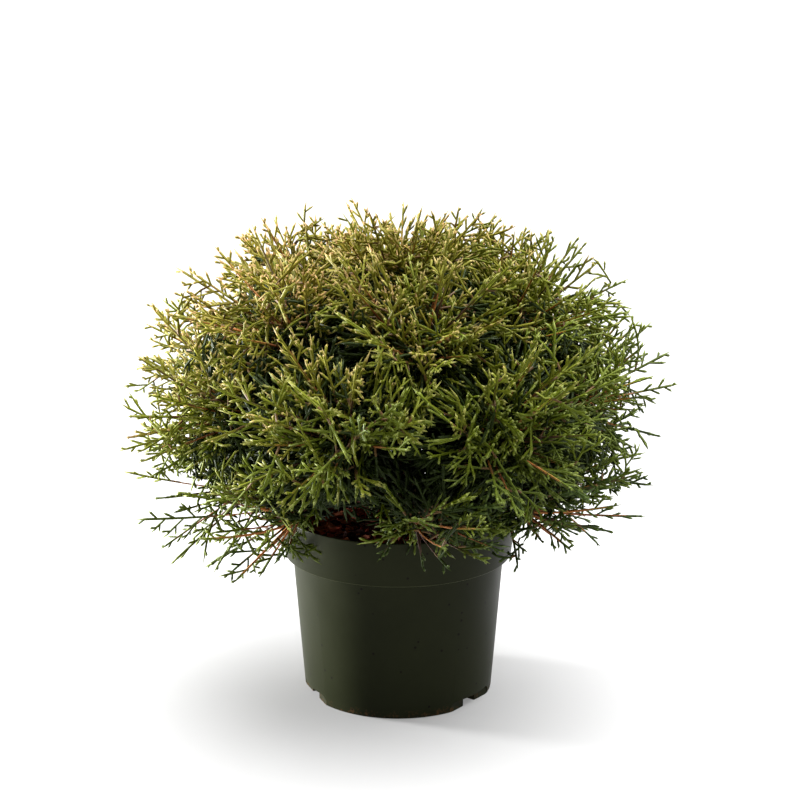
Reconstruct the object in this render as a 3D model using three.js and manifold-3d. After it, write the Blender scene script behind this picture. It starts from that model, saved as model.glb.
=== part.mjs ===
// A potted eastern arborvitae: the thread-leaved globe form, in its round nursery pot.
//
// Millimetres, +Z up. The origin is the middle of the pot's flat underside, and the front faces -Y.
//
// The pot is a thin shell with a wide band round its rim and three drain notches at its foot. Soil fills it.
// A short trunk stands in the soil. Boughs leave it in three rings, and each ends where its mass of foliage
// begins; the highest mass sits on the trunk's own tip. Every mass keeps to its own wedge of the round crown:
// the space nearer to its axis than to any other mass's axis, seen from the crown's heart.
// A mass is a stem, a dense core round it, and flat toothed sprays that stand out of the core as far as the
// crown reaches: each is a thread with its side shoots.
import * as THREE from "three";
import { mergeVertices } from "three/addons/utils/BufferGeometryUtils.js";
import Module from "manifold-3d";

const wasm = await Module();
wasm.setup();

// Pot
const POT = {
  height: 151,
  rimRadius: 95,
  bandHeight: 36.5,
  bandFootRadius: 91.2,
  bandEdge: 1.2,
  neckRadius: 85.2,
  footRadius: 76,
  footBevel: 1.5,
  wall: 1.8,
  base: 2.4,
  sides: 48,
};
const NOTCH = {
  angles: [52, 172, -68], // degrees round from the front, towards +X
  width: 50,
  height: 8.5,
  corner: 6,
  chord: 71.5, // distance of the flat inset from the pot's axis
  channelWidth: 15,
  channelHeight: 6.5,
  channelLength: 28,
  drainRadius: 4,
  drainLength: 8,
  overrun: 4, // how far the cuts start outside the wall
};

// Soil
const SOIL = {
  rimDrop: 12, // how far its edge lies under the rim
  mound: 3,
  roughness: 1.6,
  seed: 7,
  seatRadius: 15, // the flat place that the trunk stands on
  rings: [15, 48],
};

// Crown
const HEART = new THREE.Vector3(0, 0, 205);
const CROWN = {
  spread: 223, // level reach from the heart
  rise: 192, // reach straight up
  hang: 116, // reach straight down, which only the lowest sprays use
  hangsLeft: 20, // how much further it hangs on the left, less on the right
  hangsBack: 17, // the same for the back and the front
  hangsAside: 23, // the same for both sides against front and back
  squareness: 2.4,
  seed: 1300,
  unevenness: 0.04, // how much one mass reaches further than another
};
// How low the crown may hang beside the pot: lower the further out
const SKIRT = { top: 118, slope: 0.4 };
// An opening low in the front of the crown, where the soil shows: a slanting tube, flattened
const OPENING = {
  foot: new THREE.Vector3(-37, -21, 142),
  slope: 0.327, // rise against its run to the front
  halfWidth: 34,
  halfHeight: 14,
};

// Trunk and boughs
const TRUNK = {
  flareRadius: 11,
  flareHeight: 12,
  footRadius: 7.5,
  tipRadius: 3.2,
  top: 268,
  sway: 5,
  sides: 8,
  rings: 7,
};
const BOUGH = { footRadius: 3.3, tipRadius: 2.1, sides: 5, rings: 3, arch: 0.5 };
// elevation: where its masses point, in degrees; leaves: the stretch of trunk that its boughs leave from;
// step: how many places round the ring the next higher bough stands; droop: how far its stems bend down.
const RINGS = [
  { name: "lower", count: 7, elevation: -15, turn: 7.7, step: 3, leaves: [151, 173], droop: 20 },
  { name: "middle", count: 7, elevation: 15, turn: 33.4, step: 3, leaves: [181, 209], droop: 6 },
  { name: "upper", count: 5, elevation: 46, turn: 12, step: 2, leaves: [217, 246], droop: 0 },
];

// Masses of foliage
const MASS = {
  stemStart: 0.25, // shares of the crown's reach, from the heart
  stemEnd: 0.68,
  stemTipRadius: 1.3,
  coreMiddle: 0.54,
  coreSize: 0.42,
  coreLimit: 0.8,
  coreGap: 3, // bare stem between the bough and the core
  coreInset: 0.05, // how far its sides stay inside its space, as a share of the depth at its middle
  coreRoughness: 0.3,
  spraySpread: 38, // degrees from the axis within which sprays end
  sprayFeet: [0.05, 0.8], // the stretch of stem that sprays leave from
  sprays: 8,
  triesPerSpray: 20,
};
// Steps of an even two-way sequence: whole turns to add for each next place, in lean and round the axis
const EVEN_STEPS = [0.7548776662, 0.569840291];
const SPRAY = {
  halfWidth: 2.6,
  thickness: 2.6,
  teeth: 3, // on alternate sides
  toothed: [0.55, 0.9], // the stretch of its length that the teeth stand on
  toothLength: 32,
  toothShrink: 0.6, // the last tooth's length against the first's
  toothAngle: 42,
  toothBase: 6.5,
  taper: 0.7, // how much thinner its thread is at the tip
  raggedness: 0.25, // how much short of the crown's reach it may end
  bow: 0.2, // how long it keeps to the stem's direction
  apart: 8, // how near one spray may come to another
};
const CLEARANCE = 0.3; // between pieces that touch
const MARGIN = 0.6; // from a twig to the edge of its mass's space
const POT_MARGIN = 2;
const TOLERANCE = 0.02; // edges shorter than this are closed up

const UP = new THREE.Vector3(0, 0, 1);
const radians = THREE.MathUtils.degToRad;

// Seeded numbers from 0 to 1, by a 32-bit linear congruential rule.
function seededNumbers(seed) {
  let state = seed >>> 0;
  return () => {
    state = (Math.imul(state, 1664525) + 1013904223) >>> 0;
    return state / 4294967296;
  };
}

// The unit vector at an azimuth round from the front, towards +X, and an elevation, both in degrees.
function pointing(azimuth, elevation) {
  const a = radians(azimuth);
  const e = radians(elevation);
  return new THREE.Vector3(Math.sin(a) * Math.cos(e), -Math.cos(a) * Math.cos(e), Math.sin(e));
}

// How far the crown reaches from its heart along a unit vector: a rounded box of revolution.
function crownReach(direction) {
  const run = Math.hypot(direction.x, direction.y);
  const [x, y] = run > 0 ? [direction.x / run, direction.y / run] : [0, 0];
  const hang =
    CROWN.hang - CROWN.hangsLeft * x + CROWN.hangsBack * y + CROWN.hangsAside * (x * x - y * y);
  const level = run / CROWN.spread;
  const upright = Math.abs(direction.z) / (direction.z > 0 ? CROWN.rise : hang);
  const power = CROWN.squareness;
  return (level ** power + upright ** power) ** (-1 / power);
}

// A unit vector square to a direction, as near to a wanted side as can be.
function squareTo(direction, side) {
  const square = side.clone().addScaledVector(direction, -side.dot(direction));
  if (square.lengthSq() < 1e-6) square.set(1, 0, 0).addScaledVector(direction, -direction.x);
  return square.normalize();
}

// A geometry's bare shape, with the vertices that its faces share made one.
function bareGeometry(geometry) {
  const bare = geometry.clone();
  bare.deleteAttribute("normal");
  bare.deleteAttribute("uv");
  return mergeVertices(bare);
}

// A closed geometry as a solid.
function solidOf(geometry) {
  const merged = bareGeometry(geometry);
  return new wasm.Manifold(
    new wasm.Mesh({
      numProp: 3,
      vertProperties: new Float32Array(merged.attributes.position.array),
      triVerts: new Uint32Array(merged.index.array),
      tolerance: TOLERANCE,
    }),
  );
}

// A solid's surface as a geometry.
function geometryOf(solid) {
  const mesh = solid.getMesh();
  const geometry = new THREE.BufferGeometry();
  geometry.setAttribute("position", new THREE.BufferAttribute(mesh.vertProperties, 3));
  geometry.setIndex(new THREE.BufferAttribute(mesh.triVerts, 1));
  return geometry;
}

// A cylinder bent along a curve, with its radius given along it. A last radius of 0 makes a point.
function bentLimb(curve, radiusAt, sides, rings, side = UP) {
  const pointed = radiusAt(1) === 0;
  const limb = new THREE.CylinderGeometry(pointed ? 0 : 1, 1, 1, sides, rings);
  const position = limb.attributes.position;
  for (let i = 0; i < position.count; i++) {
    const t = position.getY(i) + 0.5;
    const turn = Math.atan2(position.getZ(i), position.getX(i));
    const onAxis = Math.hypot(position.getX(i), position.getZ(i)) < 1e-9;
    const radius = onAxis ? 0 : radiusAt(t);
    const tangent = curve.getTangent(t);
    const across = squareTo(tangent, side);
    const along = across.clone().cross(tangent);
    const point = curve
      .getPoint(t)
      .addScaledVector(across, radius * Math.cos(turn))
      .addScaledVector(along, radius * Math.sin(turn));
    position.setXYZ(i, point.x, point.y, point.z);
  }
  return limb;
}

const tapering = (from, to) => (t) => from + (to - from) * t;

function named(name, geometry, material) {
  const mesh = new THREE.Mesh(geometry, material);
  mesh.name = name;
  return mesh;
}

// Pot: a turned shell, then the notches at its foot
function potOutline(grow) {
  const bandFoot = POT.height - POT.bandHeight;
  const points = [
    [0, -grow],
    [POT.footRadius - POT.footBevel + grow, -grow],
    [POT.footRadius + grow, POT.footBevel],
    [POT.neckRadius + grow, bandFoot],
    [POT.bandFootRadius + grow, bandFoot + POT.bandEdge],
    [POT.rimRadius + grow, POT.height + grow],
  ];
  return points.map(([r, z]) => new THREE.Vector2(r, z));
}

function potHollow(clear) {
  const bandFoot = POT.height - POT.bandHeight;
  const inset = POT.wall + clear;
  const points = [
    [0, POT.base + clear],
    [POT.footRadius - inset, POT.base + clear],
    [POT.neckRadius - inset, bandFoot + POT.wall],
    [POT.bandFootRadius - inset, bandFoot + POT.wall + POT.bandEdge],
    [POT.rimRadius - inset, POT.height],
  ];
  return points.map(([r, z]) => new THREE.Vector2(r, z));
}

// A closed profile turned round the upright axis.
function turned(profile) {
  return new THREE.LatheGeometry(profile, POT.sides).rotateX(Math.PI / 2);
}

// One notch at the front, grown by the wall's thickness where the hollow has to stay clear of it.
function notchCut(grow) {
  const half = NOTCH.width / 2 + grow;
  const top = NOTCH.height + grow;
  const below = -NOTCH.overrun;
  const arch = new THREE.Shape();
  arch.moveTo(-half, below);
  arch.lineTo(half, below);
  arch.lineTo(half, top - NOTCH.corner);
  arch.quadraticCurveTo(half, top, half - NOTCH.corner, top);
  arch.lineTo(NOTCH.corner - half, top);
  arch.quadraticCurveTo(-half, top, -half, top - NOTCH.corner);
  arch.closePath();
  const outside = POT.footRadius + NOTCH.overrun;
  const inset = new THREE.ExtrudeGeometry(arch, {
    depth: outside - NOTCH.chord + grow,
    bevelEnabled: false,
    curveSegments: 3,
  });
  inset.rotateX(Math.PI / 2);
  inset.translate(0, -(NOTCH.chord - grow), 0);
  const channelTop = NOTCH.channelHeight + grow;
  const channelInner = outside - NOTCH.channelLength - grow;
  const channel = new THREE.BoxGeometry(
    NOTCH.channelWidth + 2 * grow,
    outside - channelInner,
    channelTop - below,
  );
  channel.translate(0, -(outside + channelInner) / 2, (channelTop + below) / 2);
  return solidOf(inset).add(solidOf(channel));
}

function notches(grow) {
  const one = geometryOf(notchCut(grow));
  return NOTCH.angles.map((angle) => solidOf(one.clone().rotateZ(radians(angle))));
}

// A round drain hole up through the roof of each channel.
function drains() {
  const { drainRadius, drainLength } = NOTCH;
  const reach = POT.footRadius + NOTCH.overrun - NOTCH.channelLength + 1.5 * drainRadius;
  return NOTCH.angles.map((angle) => {
    const hole = new THREE.CylinderGeometry(drainRadius, drainRadius, drainLength, POT.sides / 4);
    hole.rotateX(Math.PI / 2).translate(0, -reach, NOTCH.channelHeight);
    return solidOf(hole.rotateZ(radians(angle)));
  });
}

// The space that foliage keeps out of: the pot with all that it holds, grown a little.
const potSpace = solidOf(
  turned([...potOutline(POT_MARGIN), new THREE.Vector2(0, POT.height + POT_MARGIN)]),
);

function potSolid() {
  const outer = solidOf(turned([...potOutline(0), new THREE.Vector2(0, POT.height)]));
  let hollow = solidOf(turned([...potHollow(0), new THREE.Vector2(0, POT.height + POT.base)]));
  for (const notch of notches(POT.wall)) hollow = hollow.subtract(notch);
  let pot = outer.subtract(hollow);
  for (const cut of [...notches(0), ...drains()]) pot = pot.subtract(cut);
  return pot;
}

const soilEdge = POT.height - SOIL.rimDrop;
const groundLevel = soilEdge + SOIL.mound;

// Soil: fills the pot's hollow, with a rough mound for its top and a flat place under the trunk
function soilSolid() {
  const random = seededNumbers(SOIL.seed);
  const wall = potHollow(CLEARANCE);
  const [bandWall, rimWall] = wall.slice(-2);
  const share = (soilEdge - bandWall.y) / (rimWall.y - bandWall.y);
  const edgeRadius = bandWall.x + (rimWall.x - bandWall.x) * share;
  const profile = [...wall.slice(0, -1), new THREE.Vector2(edgeRadius, soilEdge)];
  for (const r of [...SOIL.rings].reverse()) {
    const rise = 1 - Math.max(0, r - SOIL.seatRadius) / (edgeRadius - SOIL.seatRadius);
    profile.push(new THREE.Vector2(r, soilEdge + SOIL.mound * rise));
  }
  profile.push(new THREE.Vector2(0, groundLevel));
  const soil = bareGeometry(turned(profile));
  const position = soil.attributes.position;
  for (let i = 0; i < position.count; i++) {
    const r = Math.hypot(position.getX(i), position.getY(i));
    const onTop = position.getZ(i) > soilEdge + 0.01 && r > SOIL.seatRadius + 1;
    if (onTop) position.setZ(i, position.getZ(i) + SOIL.roughness * (2 * random() - 1));
  }
  let solid = solidOf(soil);
  for (const notch of notches(POT.wall + CLEARANCE)) solid = solid.subtract(notch);
  return solid;
}

// Trunk: flares at the ground, tapers and sways a little on its way up into the crown
const trunkFoot = groundLevel + CLEARANCE;

class SwayingLine extends THREE.Curve {
  getPoint(t) {
    const sway = TRUNK.sway * Math.sin(Math.PI * t) ** 2;
    const height = trunkFoot + t * (TRUNK.top - trunkFoot);
    return new THREE.Vector3(sway, -sway * Math.cos(Math.PI * t), height);
  }
}
const trunkLine = new SwayingLine();

function trunkRadius(t) {
  const height = t * (TRUNK.top - trunkFoot);
  const flare = Math.max(0, 1 - height / TRUNK.flareHeight) ** 2;
  const shaft = TRUNK.footRadius + (TRUNK.tipRadius - TRUNK.footRadius) * t;
  return shaft + (TRUNK.flareRadius - TRUNK.footRadius) * flare;
}

function trunkSolid(grow) {
  const radius = (t) => trunkRadius(t) + grow;
  return solidOf(bentLimb(trunkLine, radius, TRUNK.sides, TRUNK.rings, new THREE.Vector3(0, 1, 0)));
}

// Layout: where each mass points, how far it reaches and where its bough leaves the trunk
function layOut() {
  const masses = [];
  for (const ring of RINGS) {
    for (let place = 0; place < ring.count; place++) {
      const azimuth = ring.turn + (360 * place) / ring.count;
      const order = (place * ring.step) % ring.count;
      const [low, high] = ring.leaves;
      const leaves = low + ((high - low) * order) / (ring.count - 1);
      masses.push({
        name: `${ring.name}_${place + 1}`,
        axis: pointing(azimuth, ring.elevation),
        droop: ring.droop,
        leaves,
      });
    }
  }
  masses.push({ name: "top", axis: UP.clone(), droop: 0 });
  masses.forEach((mass, index) => {
    mass.random = seededNumbers(CROWN.seed + index);
    mass.reach = 1 + CROWN.unevenness * (2 * mass.random() - 1);
    mass.edges = masses
      .filter((other) => other !== mass)
      .map((other) => mass.axis.clone().sub(other.axis).normalize());
  });
  return masses;
}

// How far inside its mass's space a point lies, in mm. Outside it the number is negative.
function depthInSpace(mass, point) {
  const arm = point.clone().sub(HEART);
  return Math.min(...mass.edges.map((edge) => arm.dot(edge)));
}

function clearOfPot(point) {
  if (point.z > POT.height + POT_MARGIN) return true;
  const aside = Math.hypot(point.x, point.y) - POT.rimRadius;
  return aside > POT_MARGIN && point.z > SKIRT.top - SKIRT.slope * aside;
}

function inOpening(point) {
  const run = OPENING.foot.y - point.y;
  if (run < 0) return false;
  const across = (point.x - OPENING.foot.x) / OPENING.halfWidth;
  const up = (point.z - OPENING.foot.z - OPENING.slope * run) / OPENING.halfHeight;
  return Math.hypot(across, up) < 1;
}

const allowed = (mass, point, margin) =>
  depthInSpace(mass, point) > margin && clearOfPot(point) && !inOpening(point);

const onAxis = (mass, share) =>
  HEART.clone().addScaledVector(mass.axis, share * mass.reach * crownReach(mass.axis));

// A mass's stem runs out along its axis and bends down at its end by the ring's droop.
function stemLine(mass) {
  const start = mass.name === "top" ? trunkLine.getPoint(1) : onAxis(mass, MASS.stemStart);
  const middle = onAxis(mass, (MASS.stemStart + MASS.stemEnd) / 2);
  const end = onAxis(mass, MASS.stemEnd);
  end.z -= mass.droop;
  return new THREE.QuadraticBezierCurve3(start, middle, end);
}

// A bough rises from inside the trunk in an arch and meets its stem end to end.
function boughLine(mass) {
  const t = (mass.leaves - trunkFoot) / (TRUNK.top - trunkFoot);
  const foot = trunkLine.getPoint(t);
  const stem = stemLine(mass);
  const end = stem.getPoint(0).addScaledVector(stem.getTangent(0), -CLEARANCE);
  const span = end.distanceTo(foot);
  const turn = end.clone().addScaledVector(stem.getTangent(0), -BOUGH.arch * span);
  return new THREE.QuadraticBezierCurve3(foot, turn, end);
}

function boughSolid(mass) {
  const radius = tapering(BOUGH.footRadius, BOUGH.tipRadius);
  return solidOf(bentLimb(boughLine(mass), radius, BOUGH.sides, BOUGH.rings)).subtract(
    trunkSolid(CLEARANCE),
  );
}

// Core: a ball that fills its mass's space short of the edges, with a rough surface
function coreSolid(mass) {
  const middle = onAxis(mass, MASS.coreMiddle);
  const reach = mass.reach * crownReach(mass.axis);
  const nearest = MASS.stemStart * reach + MASS.coreGap;
  const margin = MASS.coreInset * depthInSpace(mass, middle);
  const ball = bareGeometry(new THREE.IcosahedronGeometry(1, 1));
  const position = ball.attributes.position;
  for (let i = 0; i < position.count; i++) {
    const direction = new THREE.Vector3().fromBufferAttribute(position, i);
    const point = new THREE.Vector3();
    const fits = (length) => {
      point.copy(middle).addScaledVector(direction, length);
      const outward = point.clone().sub(HEART);
      const distance = outward.length();
      const furthest = MASS.coreLimit * crownReach(outward.normalize());
      return allowed(mass, point, margin) && distance < furthest && distance > nearest;
    };
    let length = MASS.coreSize * reach;
    while (length > 1 && !fits(length)) length *= 0.95;
    fits(length * (1 - MASS.coreRoughness * mass.random()));
    position.setXYZ(i, point.x, point.y, point.z);
  }
  return solidOf(ball);
}

// The ends of a mass's sprays: an even sequence of directions round its axis, out to the crown's reach.
// The first few already lie evenly, and any number more fall between them.
function* sprayEnds(mass) {
  const across = squareTo(mass.axis, new THREE.Vector3(-mass.axis.y, mass.axis.x, 0.01));
  const upward = mass.axis.clone().cross(across);
  for (let n = 0; ; n++) {
    const [leaning, turning] = EVEN_STEPS.map((step) => (0.5 + n * step) % 1);
    const lean = radians(MASS.spraySpread) * Math.sqrt(leaning);
    const turn = 2 * Math.PI * turning;
    const direction = mass.axis
      .clone()
      .multiplyScalar(Math.cos(lean))
      .addScaledVector(across, Math.sin(lean) * Math.cos(turn))
      .addScaledVector(upward, Math.sin(lean) * Math.sin(turn))
      .normalize();
    const ragged = 1 - SPRAY.raggedness * mass.random() ** 2;
    const end = HEART.clone().addScaledVector(direction, ragged * mass.reach * crownReach(direction));
    yield { end, lean: Math.sqrt(leaning) };
  }
}

// A spray's line leaves the stem along the stem's own direction and bends out to its end.
// Sprays that end far from the axis leave the stem early.
function sprayLine(stem, { end, lean }) {
  const [nearest, furthest] = MASS.sprayFeet;
  const leaves = nearest + (furthest - nearest) * (1 - lean);
  const foot = stem.getPoint(leaves);
  const bend = foot.clone().addScaledVector(stem.getTangent(leaves), SPRAY.bow * foot.distanceTo(end));
  return new THREE.QuadraticBezierCurve3(foot, bend, end);
}

// A spray's frame: a point so far along its line, so far to the side and so far over its flat
function sprayFrame(line, flat) {
  const length = line.getLength();
  return (x, y, z = 0) => {
    const t = THREE.MathUtils.clamp(y / length, 0, 1);
    const tangent = line.getTangent(t);
    const side = squareTo(tangent, UP).applyAxisAngle(tangent, flat);
    const over = side.clone().cross(tangent);
    return line.getPoint(t).addScaledVector(side, x).addScaledVector(over, z);
  };
}

// A spray's teeth, each as its foot, its tip and where its upper edge ends, at alternate sides. A tooth that
// would leave the mass's space is made shorter.
function sprayTeeth(length, fits) {
  const [first, last] = SPRAY.toothed;
  const angle = radians(SPRAY.toothAngle);
  return Array.from({ length: SPRAY.teeth }, (_, index) => {
    const side = index % 2 === 0 ? 1 : -1;
    const share = index / SPRAY.teeth;
    const t = first + (last - first) * share;
    const halfWidth = SPRAY.halfWidth * (1 - SPRAY.taper * t);
    const tip = (reach) => [
      side * (halfWidth + reach * Math.sin(angle)),
      t * length + reach * Math.cos(angle),
    ];
    let reach = SPRAY.toothLength * (1 - (1 - SPRAY.toothShrink) * share);
    while (reach > SPRAY.halfWidth && !fits(...tip(reach))) reach *= 0.8;
    const foot = [side * halfWidth, t * length];
    return { side, points: [foot, tip(reach), [foot[0], foot[1] + SPRAY.toothBase]] };
  });
}

// Points along a spray's thread and teeth, by which sprays are kept apart.
function spraySamples(place, length, teeth) {
  const steps = Math.ceil(length / SPRAY.apart);
  const samples = [];
  for (let step = Math.ceil(SPRAY.toothed[0] * steps); step <= steps; step++) {
    samples.push(place(0, (length * step) / steps));
  }
  for (const [foot, tip] of teeth.map((tooth) => tooth.points)) {
    for (const share of [1 / 3, 2 / 3, 1]) {
      samples.push(place(share * tip[0], foot[1] + share * (tip[1] - foot[1])));
    }
  }
  return samples;
}

// One spray: a flat blade with its teeth, bent along its line. It is left out if it would leave its mass's
// space or come too near to another spray.
function sprayBlade(mass, line, taken) {
  const length = line.getLength();
  const place = sprayFrame(line, Math.PI * mass.random());
  const fits = (x, y) => y <= length && allowed(mass, place(x, y), MARGIN + SPRAY.thickness);
  if (![0.25, 0.5, 0.75, 1].every((t) => fits(0, t * length))) return null;
  const teeth = sprayTeeth(length, fits);
  const samples = spraySamples(place, length, teeth);
  if (samples.some((point) => taken.some((other) => point.distanceTo(other) < SPRAY.apart))) return null;
  taken.push(...samples);
  const edge = (side) => [
    [side * SPRAY.halfWidth, 0],
    ...teeth.filter((tooth) => tooth.side === side).flatMap((tooth) => tooth.points),
  ];
  const outline = [...edge(1), [0, length], ...edge(-1).reverse()];
  const shape = new THREE.Shape(outline.map(([x, y]) => new THREE.Vector2(x, y)));
  const blade = new THREE.ExtrudeGeometry(shape, { depth: SPRAY.thickness, bevelEnabled: false });
  const position = blade.attributes.position;
  for (let i = 0; i < position.count; i++) {
    const over = position.getZ(i) - SPRAY.thickness / 2;
    const point = place(position.getX(i), position.getY(i), over);
    position.setXYZ(i, point.x, point.y, point.z);
  }
  return blade;
}

// A mass: stem, core and sprays fused into one solid. A scrap that a cut leaves loose is dropped.
function massSolid(mass) {
  const stem = stemLine(mass);
  if (mass.name === "top") stem.v0.z += CLEARANCE;
  const radius = tapering(BOUGH.tipRadius, MASS.stemTipRadius);
  const ends = sprayEnds(mass);
  const taken = [];
  const blades = [];
  for (let tries = MASS.triesPerSpray * MASS.sprays; tries > 0 && blades.length < MASS.sprays; tries--) {
    const blade = sprayBlade(mass, sprayLine(stem, ends.next().value), taken);
    if (blade) blades.push(solidOf(blade));
  }
  const stemSolid = solidOf(bentLimb(stem, radius, BOUGH.sides, 2));
  let solid = wasm.Manifold.union([stemSolid, coreSolid(mass), ...blades]);
  if (mass.name.startsWith("lower")) solid = solid.subtract(potSpace);
  return solid.decompose().reduce((most, body) => (body.volume() > most.volume() ? body : most));
}

// Materials
const potGreen = new THREE.MeshStandardMaterial({ color: 0x2f3524, roughness: 0.45, metalness: 0 });
const barkMulch = new THREE.MeshStandardMaterial({ color: 0x3c1d14, roughness: 0.95, metalness: 0 });
const barkBrown = new THREE.MeshStandardMaterial({ color: 0x7a4526, roughness: 0.85, metalness: 0 });
const threadGreen = new THREE.MeshStandardMaterial({ color: 0x66792f, roughness: 0.6, metalness: 0 });

const plant = new THREE.Group();
plant.add(named("pot", geometryOf(potSolid()), potGreen));
plant.add(named("soil", geometryOf(soilSolid()), barkMulch));
plant.add(named("trunk", geometryOf(trunkSolid(0)), barkBrown));
for (const mass of layOut()) {
  if (mass.name !== "top") plant.add(named(`bough_${mass.name}`, geometryOf(boughSolid(mass)), barkBrown));
  plant.add(named(`foliage_${mass.name}`, geometryOf(massSolid(mass)), threadGreen));
}

export default plant;
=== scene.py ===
"""The finish of the potted eastern arborvitae: its pot, mulch, bark, twigs and fine threads of foliage.

Lengths are in metres. The pot stands at the origin, +Z is up, and the front faces -Y.
The crown grows by the same rule as its solids, carried on to finer twigs and shoots within the same reach.
"""

import math

import bmesh
import bpy
import numpy as np
from mathutils import Matrix, Vector, noise


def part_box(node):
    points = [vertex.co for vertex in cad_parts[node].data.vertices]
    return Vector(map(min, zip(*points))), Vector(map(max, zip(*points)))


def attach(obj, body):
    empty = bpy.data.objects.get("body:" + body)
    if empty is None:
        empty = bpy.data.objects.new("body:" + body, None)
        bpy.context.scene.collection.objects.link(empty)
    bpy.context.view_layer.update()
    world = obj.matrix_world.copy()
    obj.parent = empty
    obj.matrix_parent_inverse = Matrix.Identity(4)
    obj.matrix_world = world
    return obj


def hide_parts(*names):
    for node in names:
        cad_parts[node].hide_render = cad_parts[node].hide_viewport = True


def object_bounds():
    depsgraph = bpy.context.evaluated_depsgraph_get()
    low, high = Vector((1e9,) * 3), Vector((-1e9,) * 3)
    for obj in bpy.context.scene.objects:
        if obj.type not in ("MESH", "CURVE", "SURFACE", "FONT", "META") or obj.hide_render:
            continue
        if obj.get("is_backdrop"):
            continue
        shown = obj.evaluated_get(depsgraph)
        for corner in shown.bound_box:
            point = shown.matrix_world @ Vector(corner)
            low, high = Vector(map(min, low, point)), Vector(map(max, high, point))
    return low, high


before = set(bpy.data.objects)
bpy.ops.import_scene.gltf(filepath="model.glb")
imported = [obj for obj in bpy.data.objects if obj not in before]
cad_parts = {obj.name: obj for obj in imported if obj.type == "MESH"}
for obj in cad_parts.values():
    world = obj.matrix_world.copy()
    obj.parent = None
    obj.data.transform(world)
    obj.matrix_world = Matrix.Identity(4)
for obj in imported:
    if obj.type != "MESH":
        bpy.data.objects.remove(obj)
CAD_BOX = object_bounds()

bl_info = {
    "name": "Potted arborvitae",
    "version": (1, 0, 0),
    "blender": (4, 5, 0),
    "location": "3D View > Sidebar > Arborvitae",
    "description": "Builds the finished surfaces of a potted thread-leaved arborvitae",
    "category": "Object",
}

BODY = "root"
POT_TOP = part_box("pot")[1]
GROUND_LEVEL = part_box("trunk")[0].z

# Crown: the reach, spaces and stems that its solids have
HEART = np.array((0.0, 0.0, 0.205))
SPREAD, RISE, HANG = 0.223, 0.192, 0.116
HANGS_LEFT, HANGS_BACK, HANGS_ASIDE = 0.020, 0.017, 0.023
SQUARENESS = 2.4
CROWN_SEED = 1300
UNEVENNESS = 0.04
SKIRT_TOP, SKIRT_SLOPE = 0.118, 0.4  # how low the crown may hang beside the pot
THIN_BELOW, THIN_SLOPE = 0.160, 0.42  # under this height, more the further out, the crown grows open
THIN_DEPTH, THIN_SHARE = 0.030, 0.08  # so far under it, only this share of twigs and shoots is left
OPENING = {"foot": (-0.037, -0.021, 0.142), "slope": 0.327, "half_width": 0.034, "half_height": 0.014}
TRUNK = {
    "flare_radius": 0.011,
    "flare_height": 0.012,
    "foot_radius": 0.0075,
    "tip_radius": 0.0032,
    "top": 0.268,
    "sway": 0.005,
}
BOUGH = {"foot_radius": 0.0033, "tip_radius": 0.0021, "arch": 0.5}
# Each ring's name, boughs, elevation and turn in degrees, step from foot to foot, heights of the feet, droop
RINGS = (
    ("lower", 7, -15, 7.7, 3, (0.151, 0.173), 0.020),
    ("middle", 7, 15, 33.4, 3, (0.181, 0.209), 0.006),
    ("upper", 5, 46, 12, 2, (0.217, 0.246), 0.0),
)
STEM_START, STEM_END = 0.25, 0.68
SPRAY_SPREAD = 38
SPRAY_FEET = (0.05, 0.8)  # where the most and the least leaning twigs leave their stem
EVEN_STEPS = (0.7548776662, 0.569840291)
FIRST_TWIGS, CROWDING = 24, 0.36
RAGGEDNESS, FINE_RAGGEDNESS = 0.25, 0.3
BOW = 0.2
INNER_TWIGS = (0.45, 0.85)  # how far the deeper twigs go, as shares of the others
MARGIN = 0.0032
POT_MARGIN = 0.002
CLEARANCE = 0.0003
UP = np.array((0.0, 0.0, 1.0))


def srgb(red, green, blue):
    """A colour as the eye sees it, 0 to 255, as the linear values that shaders take."""
    shares = [value / 255 for value in (red, green, blue)]
    return tuple(s / 12.92 if s <= 0.04045 else ((s + 0.055) / 1.055) ** 2.4 for s in shares)


def colour(name, description, *default):
    """A colour setting, with its default as the eye sees it."""
    return bpy.props.FloatVectorProperty(
        name=name, description=description, default=srgb(*default), subtype="COLOR", size=3, min=0, max=1
    )


def number(name, description, default, **kind):
    return bpy.props.FloatProperty(name=name, description=description, default=default, **kind)


def whole_number(name, description, default):
    return bpy.props.IntProperty(name=name, description=description, default=default, min=1)


def length(name, description, default):
    return number(name, description, default, subtype="DISTANCE", unit="LENGTH", min=0, precision=4)


class PotSettings(bpy.types.PropertyGroup):
    """Sizes and colours of the pot"""

    height: length("Height", "Height of the pot", POT_TOP.z)
    rim_radius: length("Rim radius", "Outer radius of the rim", POT_TOP.x)
    neck_radius: length("Neck radius", "Outer radius just under the band", 0.0852)
    foot_radius: length("Foot radius", "Outer radius at the foot", 0.076)
    band_height: length("Band height", "Height of the wide band round the rim", 0.0365)
    band_foot_radius: length("Band foot radius", "Outer radius at the band's lower edge", 0.0912)
    wall: length("Wall", "Thickness of the wall", 0.0018)
    plastic: colour("Plastic", "Colour of the plastic", 28, 31, 14)
    # also the colour of the painted highlight along the band's foot edge
    scuffs_and_highlight: colour("Worn plastic", "Colour of its rubbed edges and scuffs", 74, 78, 54)
    dust: colour("Dust", "Colour of the dry splashes at the foot", 118, 80, 50)
    dirt: colour("Dirt", "Colour of the soil specks", 16, 13, 9)


class MulchSettings(bpy.types.PropertyGroup):
    """Sizes and colours of the bark mulch"""

    chips: whole_number("Chips", "Number of bark chips", 760)
    longest_chip: length("Longest chip", "Length of the longest bark chip", 0.021)
    dark_bark: colour("Dark bark", "Colour of damp mulch in the shade", 74, 30, 20)
    red_bark: colour("Red bark", "Colour of the red side of a chip", 164, 68, 42)
    pale_bark: colour("Pale bark", "Colour of the dry side of a chip", 184, 116, 76)


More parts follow.
